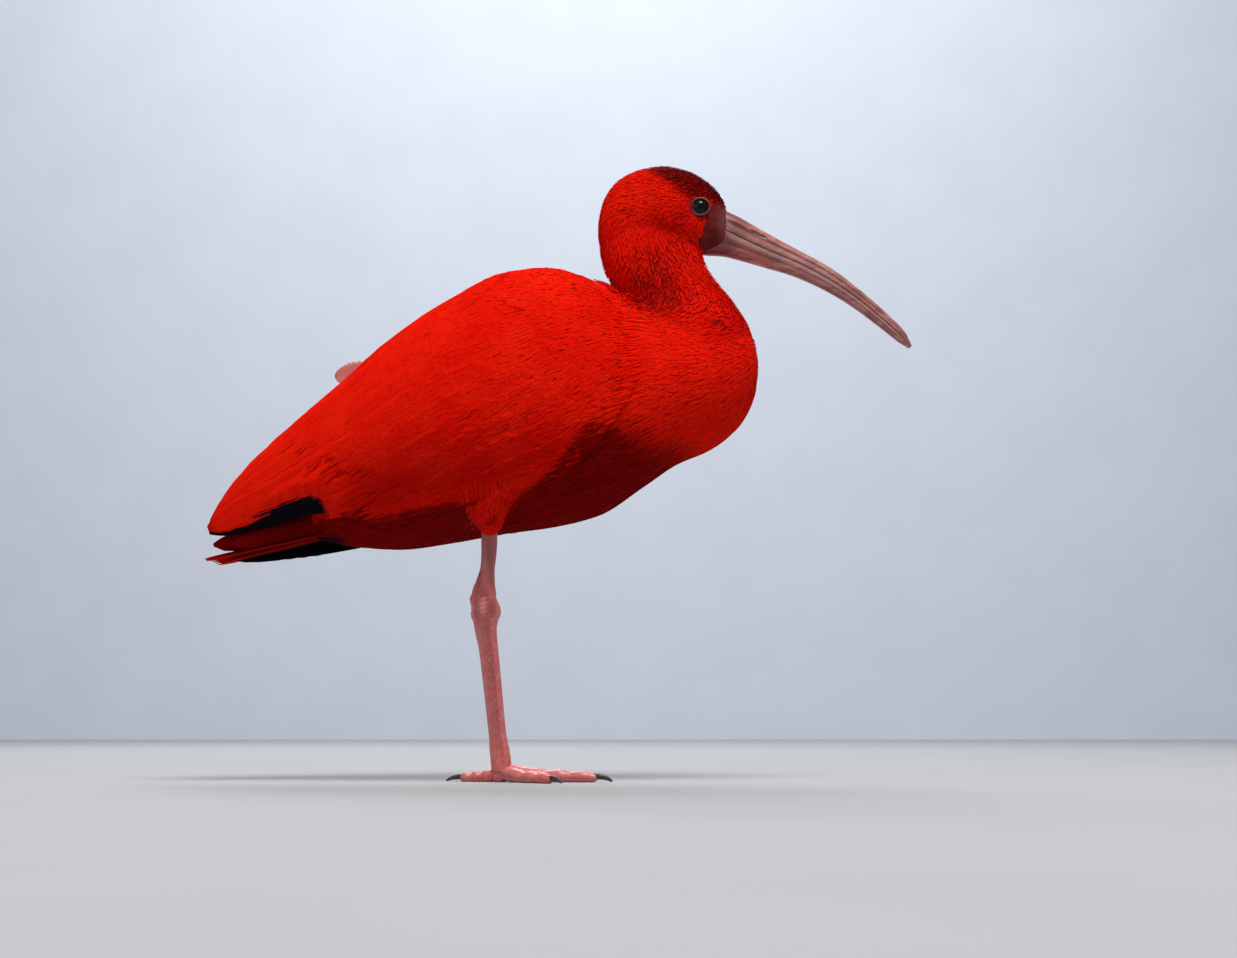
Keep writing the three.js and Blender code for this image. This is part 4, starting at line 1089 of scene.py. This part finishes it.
def wing_coat(side):
    """The soft small feathers that cover shoulder and coverts, laid over the large ones."""
    surface = wing_surface(side)
    tree = BVHTree.FromPolygons(surface[0].tolist(), surface[1])
    loose = np.random.default_rng(5 + side)

    def inside(points):
        share = wing_share(points) + 0.06 * loose.normal(0, 1, len(points))
        return share < lerp(0.72, 0.5, step(222, 178, points[:, 2]))

    def onto(target, normal):
        return tree.find_nearest(target)[0], normal

    spots, normals = scatter(1.75, inside, surface)
    x, _, z = spots.T
    centre = np.stack([x, 0 * x, 0 * x + WING_CORE], -1)
    normals *= np.sign(((spots - centre) * normals).sum(1, keepdims=True))
    flow = WING_FLOW - (normals @ WING_FLOW)[:, None] * normals
    far = step(50, -90, x)
    left, low, wide, high = WING_BOXES[side]
    patch = np.stack([left + wide * wing_share(spots), low + high * np.clip((z - 150) / 172, 0, 1)], -1)
    # Painted shade: dark along the wing's lower edge, and the lower wing darker, fading out towards the tip
    edge = belly_shade(spots + [0, 0, 1.5]) * step(30, 5, x) * loose.uniform(0.6, 0.85, len(spots))
    coat(f"wing_{SIDE_NAMES[side]}_coverts", spots, normals, lerp(9.5, 17, far), lerp(0.95, 1.25, far),
         lerp(0.12, 0.08, far), COAT, 5, lerp(0.08, 0.05, far), flow=unit(flow), onto=onto, patch=patch,
         tone=0.08 - 0.2 * step(245, 185, z), slot="flight_feathers",
         maroon=np.maximum(edge, 0.32 * step(228, 176, z) * step(-115, -55, x)))


def feathered_wing(side):
    name = f"wing_{SIDE_NAMES[side]}"
    bed = build(f"{name}_bed", wing_bed(side), [VANE], "flight_feathers", name)
    bed.data.uv_layers.new(name="vane")
    write_attribute(bed.data, "tone", np.full(len(bed.data.vertices), 0.35))
    vanes = Vanes(WING_BOXES[side], lambda u, v, h: wing_point(side, u, v, h))
    for count, root, tip, half, height, along, across, pointed, black in WING_ROWS:
        for k in range(count):
            t = (k + rng.uniform(-0.2, 0.2)) / (count - 1)
            start, end = ([lerp(line[0][c], line[1][c], t) for c in (0, 1)] for line in (root, tip))
            end = [start[0] + (end[0] - start[0]) * rng.uniform(0.93, 1.03), end[1] + rng.normal(0, 0.008)]
            vanes.add(start, end, half * rng.uniform(0.9, 1.08), height, along, across, 0.16, pointed,
                      0.035 * half, 0.02, tone=rng.uniform(0.38, 0.62), bend=rng.normal(0, 0.008),
                      ink=wing_ink if black else 0, dusk=under_wing_painted_shade)
    vanes.build(f"{name}_vanes")
    wing_coat(side)


def tail_place(along, aside, height):
    along, aside, height = np.broadcast_arrays(along, aside, height)
    x = lerp(TAIL_ROOT[0], TAIL_TIP[0], along)
    z = lerp(TAIL_ROOT[2], TAIL_TIP[2], along) + height - (aside / 26) ** 2 * 3
    return np.stack([x, aside, z], -1)


def feathered_tail():
    vanes = Vanes((0.93, 0.1, 0.05, 0.01), tail_place)
    for t in np.arange(6) / 5:
        for side in (LEFT, RIGHT):
            root, tip = (0, side * lerp(0.6, 5, t)), (lerp(1, 0.955, t), side * lerp(1.5, 17, t))
            # Painted shade on the tail: dark in tone, and darker except at the tips beyond x = -162
            vanes.add(root, tip, 6.4, (lerp(1.2, -1.4, t), lerp(1.0, -1.4, t) + 0.2 * side), 26, 9, 0.4, 0.16,
                      0.3, 0.02, tone=rng.uniform(0.1, 0.4),
                      dusk=lambda middle, s: 0.7 * step(-180, -162, middle[:, 0]))
    vanes.build("tail_vanes", "tail")


def upright(x, z, y):
    """A nearly upright surface for feathers: from root to tip, with aside as height across it."""
    outward = math.copysign(1, y)

    def place(along, aside, height):
        along, aside, height = np.broadcast_arrays(along, aside, height)
        return np.stack([lerp(x[0], x[1], along), y + outward * height, lerp(z[0], z[1], along) + aside], -1)
    return place


def tail_coverts():
    """Long coverts, painted dark with shade, that close the gap between wings and tail, and the far wing's
    black ends.
    """
    vanes = Vanes((0.93, 0.2, 0.05, 0.01))
    for y, tips in ((-11, (-150, -166)), (-5, (-160, -180)), (5, (-160, -180)), (11, (-150, -166))):
        for k, end in enumerate(tips):
            vanes.place = upright((-88, end), (165 - 2 * k, 149 - 3 * k), y)
            # Painted shade: these coverts darkened all along
            vanes.add((0, 0), (1, 0), 6.2, (0.3 * k, 0.3 * k + 0.4), 22, 9, 0.3, 0.3, 0.8, 0.02, dusk=0.7)
    for k, end in enumerate((-140, -158, -173)):
        vanes.place = upright((-84, end), (152 - k, 144.5 - 2.4 * k), 17)
        vanes.add((0, 0), (1, 0), 4.6, (0.5 * k, 0.5 * k + 0.5), 22, 9, 0.3, 0.3, 0.6, tone=0.2,
                  ink=lambda middle, s: step(0.02, 0.1, s))
    vanes.build("tail_coverts")


def loose_feathers():
    """The pale feather that stands out over the back, and the small tuft between the shoulders."""
    vanes = Vanes((0.93, 0.3, 0.05, 0.01), upright((-76, -109), (259, 256), 10))
    vanes.add((0, 0), (1, 0), 8.5, (0, 0.6), 20, 9, 0.2, 0.6, 0.6, 0.06, tone=0.9, rose=0.92)
    for k in range(5):
        x, y = 46 + 2.5 * k, rng.uniform(-6, 6)
        vanes.place = upright((x, x - 17), (316.5, 321.5 + rng.uniform(-2.5, 1.0)), y + 0.01)
        vanes.add((0, 0), (1, 0), 2.0, (0, 0.8), 12, 5, 0.2, 0.45, 0.4, 0.06, tone=0.6,
                  rose=0.3 * (k % 3 == 0))
    vanes.build("loose_feathers")


for side in (RIGHT, LEFT):
    feathered_wing(side)
feathered_tail()
tail_coverts()
loose_feathers()


# Bill, eyes and claws

def bill_half(over):
    """Upper (+1) or lower (-1) half of the bill, with its grooves and nostril."""
    steps, sides, upper = 260, 60, over > 0
    s = np.linspace(0, 1, steps) ** 0.95
    x, z, up, down, half = BILL(s)
    middle = np.stack([x, np.zeros(steps), z], -1)
    ahead = unit(np.gradient(middle, axis=0))
    rise = np.stack([-ahead[:, 2], np.zeros(steps), ahead[:, 0]], -1)
    start = -0.1 * up - (0 if upper else 0.3)
    angle = np.linspace(0, np.pi, sides)[None, :]
    level = np.sin(angle)
    shown = step(0.05, 0.12, s)[:, None]
    dip = np.exp(-((level - 0.46) / 0.10) ** 2) * (0.16 if upper else 0.09) * shown
    lip = np.exp(-(level / 0.14) ** 2) * 0.06
    nostril = np.exp(-((x[:, None] - 160) / 5.2) ** 4 - ((level - 0.62) / 0.07) ** 2) * 0.2
    slit = nostril if upper else 0 * nostril
    wide = half[:, None] * (1 - dip - slit + lip) * power(np.cos(angle), 0.8)
    wrinkle = 0.012 * np.sin(s[:, None] * 900) * step(0.3, 0.1, s)[:, None] * shown
    high = over * (up if upper else down)[:, None] * level * 1.1 * (1 + wrinkle)
    ring = middle[:, None] + rise[:, None] * (start[:, None] + high)[..., None]
    ring[..., 1] += wide
    # Painted shade in the side grooves and the nostril, and a dark line along the gape of the upper half
    groove_shade = np.clip(dip * 4.5 + slit * 6, 0, 1) * lerp(1, 0.45, s)[:, None]
    edge = np.exp(-((level - (0.05 if upper else 0.12)) / 0.1) ** 2) * shown
    return ring, {
        "along": np.broadcast_to(s[:, None], (steps, sides)),
        "groove_shade": np.clip(groove_shade * 0.85 + (0.85 if upper else 0) * edge, 0, 1),
        "pale": (0 if upper else 0.5) * edge,
    }


for over, name in ((1, "bill_upper"), (-1, "bill_lower")):
    rings, values = bill_half(over)
    piece = build(name + "_horn", tube(rings), [HORN], "bill", name)
    for key, value in values.items():
        write_attribute(piece.data, key, value)

LID_STEPS, LID_SIDES = 120, 14
for side, name in SIDE_NAMES.items():
    centre = EYE * [1, side, 1]
    turn, rise = np.meshgrid(ring_angles(64), np.linspace(-1.55, 1.55, 40))
    ball = np.stack([np.cos(rise) * np.cos(turn), side * np.sin(rise), np.cos(rise) * np.sin(turn)], -1)
    looking = ball @ unit(np.array([0.10, side, 0.0]))
    bulge = 1 + 0.035 * step(0.8, 0.98, looking)
    ball = centre + ball * bulge[..., None] * EYE_RADIUS
    piece = build(f"eyeball_{name}", tube(ball), [WET], "eye", f"eye_{name}")
    write_attribute(piece.data, "iris", step(0.93, 0.91, looking))
    around = np.linspace(0, 2 * np.pi, LID_STEPS + 1)[:-1]
    around, across = np.meshgrid(around, ring_angles(LID_SIDES), indexing="ij")
    beads = 0.16 * np.abs(np.sin(around * 17)) * step(-0.2, 0.6, np.cos(across))
    radius = 5.65 + (0.72 + beads) * np.cos(across)
    height = 4.95 + 1.0 * np.sin(across) + 0.25 * np.cos(around)
    lid = np.stack([radius * np.cos(around) * 1.03, side * height, radius * np.sin(around) * 0.96], -1)
    start, faces = (LID_STEPS - 1) * LID_SIDES, grid_faces(LID_STEPS, LID_SIDES, True)
    faces += [[start + j, start + k, k, j] for j in range(LID_SIDES) for k in [(j + 1) % LID_SIDES]]
    build(f"lid_{name}", ((lid + centre).reshape(-1, 3), faces), [LID], "head")


def claw(name, rows, across=(0, 1, 0)):
    build(name + "_horn", above_floor(limb(rows, 20, 0.3, across)), [CLAW], "claw", name)


for toe, shape in TOES.items():
    claw(f"claw_right_{toe}", claw_rows(*shape), across_toe(shape[0]))
for toe, (aside, share, _) in FOLDED.items():
    claw(f"claw_left_{toe}", folded_claw_rows(aside, share))
claw("claw_left_hind", FOLDED_HIND_CLAW)


# Stage, light and camera

PHOTO_WIDTH, PHOTO_HEIGHT = 1237, 958
MM_PER_PIXEL = 0.63
CENTRE_X = (PHOTO_WIDTH / 2 - 503) * MM_PER_PIXEL * MM
CENTRE_Z = (778 - PHOTO_HEIGHT / 2) * MM_PER_PIXEL * MM
DISTANCE, CAMERA_HEIGHT = 1.15, 0.035
LIGHTS = [
    # name, place, target, size, energy, tint
    ("key", (0.30, -0.95, 2.1), (0.03, 0, 0.22), 1.0, 46, (1, 0.98, 0.95)),
    ("fill", (-1.6, -1.5, 1.0), (0.0, 0, 0.25), 1.6, 4, (0.97, 0.98, 1)),
    ("rim", (-0.4, 1.5, 1.7), (0.03, 0, 0.25), 1.2, 15, (0.97, 0.98, 1)),
    ("backdrop_light", (0, 1.7, 3.0), (0, 3.2, 0.7), 2.2, 60, (0.95, 0.97, 1)),
]


def stage_plane(name, corners, tone):
    mesh = bpy.data.meshes.new(name)
    mesh.from_pydata(corners, [], [(0, 1, 2, 3)])
    dim = [c * 0.97 for c in tone]
    paint = grained_material(f"{name}_paint", (*tone, 1), (*dim, 1), 0.9, 0.1, (6, 2), (0.3, 0.7))
    mesh.materials.append(paint)
    put(name, mesh)


def aim(thing, place, target):
    """Sets a lamp or the camera in its place, looking at the target, and gives the distance."""
    way = Vector(target) - Vector(place)
    thing.location = place
    thing.rotation_euler = way.to_track_quat("-Z", "Y").to_euler()
    return way.length


stage_plane("floor", [(-6, -6, 0), (6, -6, 0), (6, 6, 0), (-6, 6, 0)], (0.40, 0.405, 0.42))
stage_plane("backdrop", [(-6, 3.2, 0), (6, 3.2, 0), (6, 3.2, 5), (-6, 3.2, 5)], (0.70, 0.74, 0.82))
camera = put("camera", bpy.data.cameras.new("camera"))
distance = aim(camera, (CENTRE_X, -DISTANCE, CAMERA_HEIGHT), (CENTRE_X, 0, CENTRE_Z))
camera.data.lens = 36 * distance / (PHOTO_WIDTH * MM_PER_PIXEL * MM)
camera.data.clip_start, camera.data.clip_end = 0.01, 50
bpy.context.scene.camera = camera
for name, place, target, size, energy, tint in LIGHTS:
    lamp = put(name, bpy.data.lights.new(name, "AREA"))
    lamp.data.shape, lamp.data.size, lamp.data.energy, lamp.data.color = "DISK", size, energy, tint
    aim(lamp, place, target)
bpy.context.scene.view_settings.view_transform = "Standard"
world = bpy.data.worlds.new("studio")
bpy.context.scene.world = world
world.use_nodes = True
background = world.node_tree.nodes["Background"].inputs
background["Color"].default_value = (0.93, 0.96, 1.0, 1)
background["Strength"].default_value = 0.32
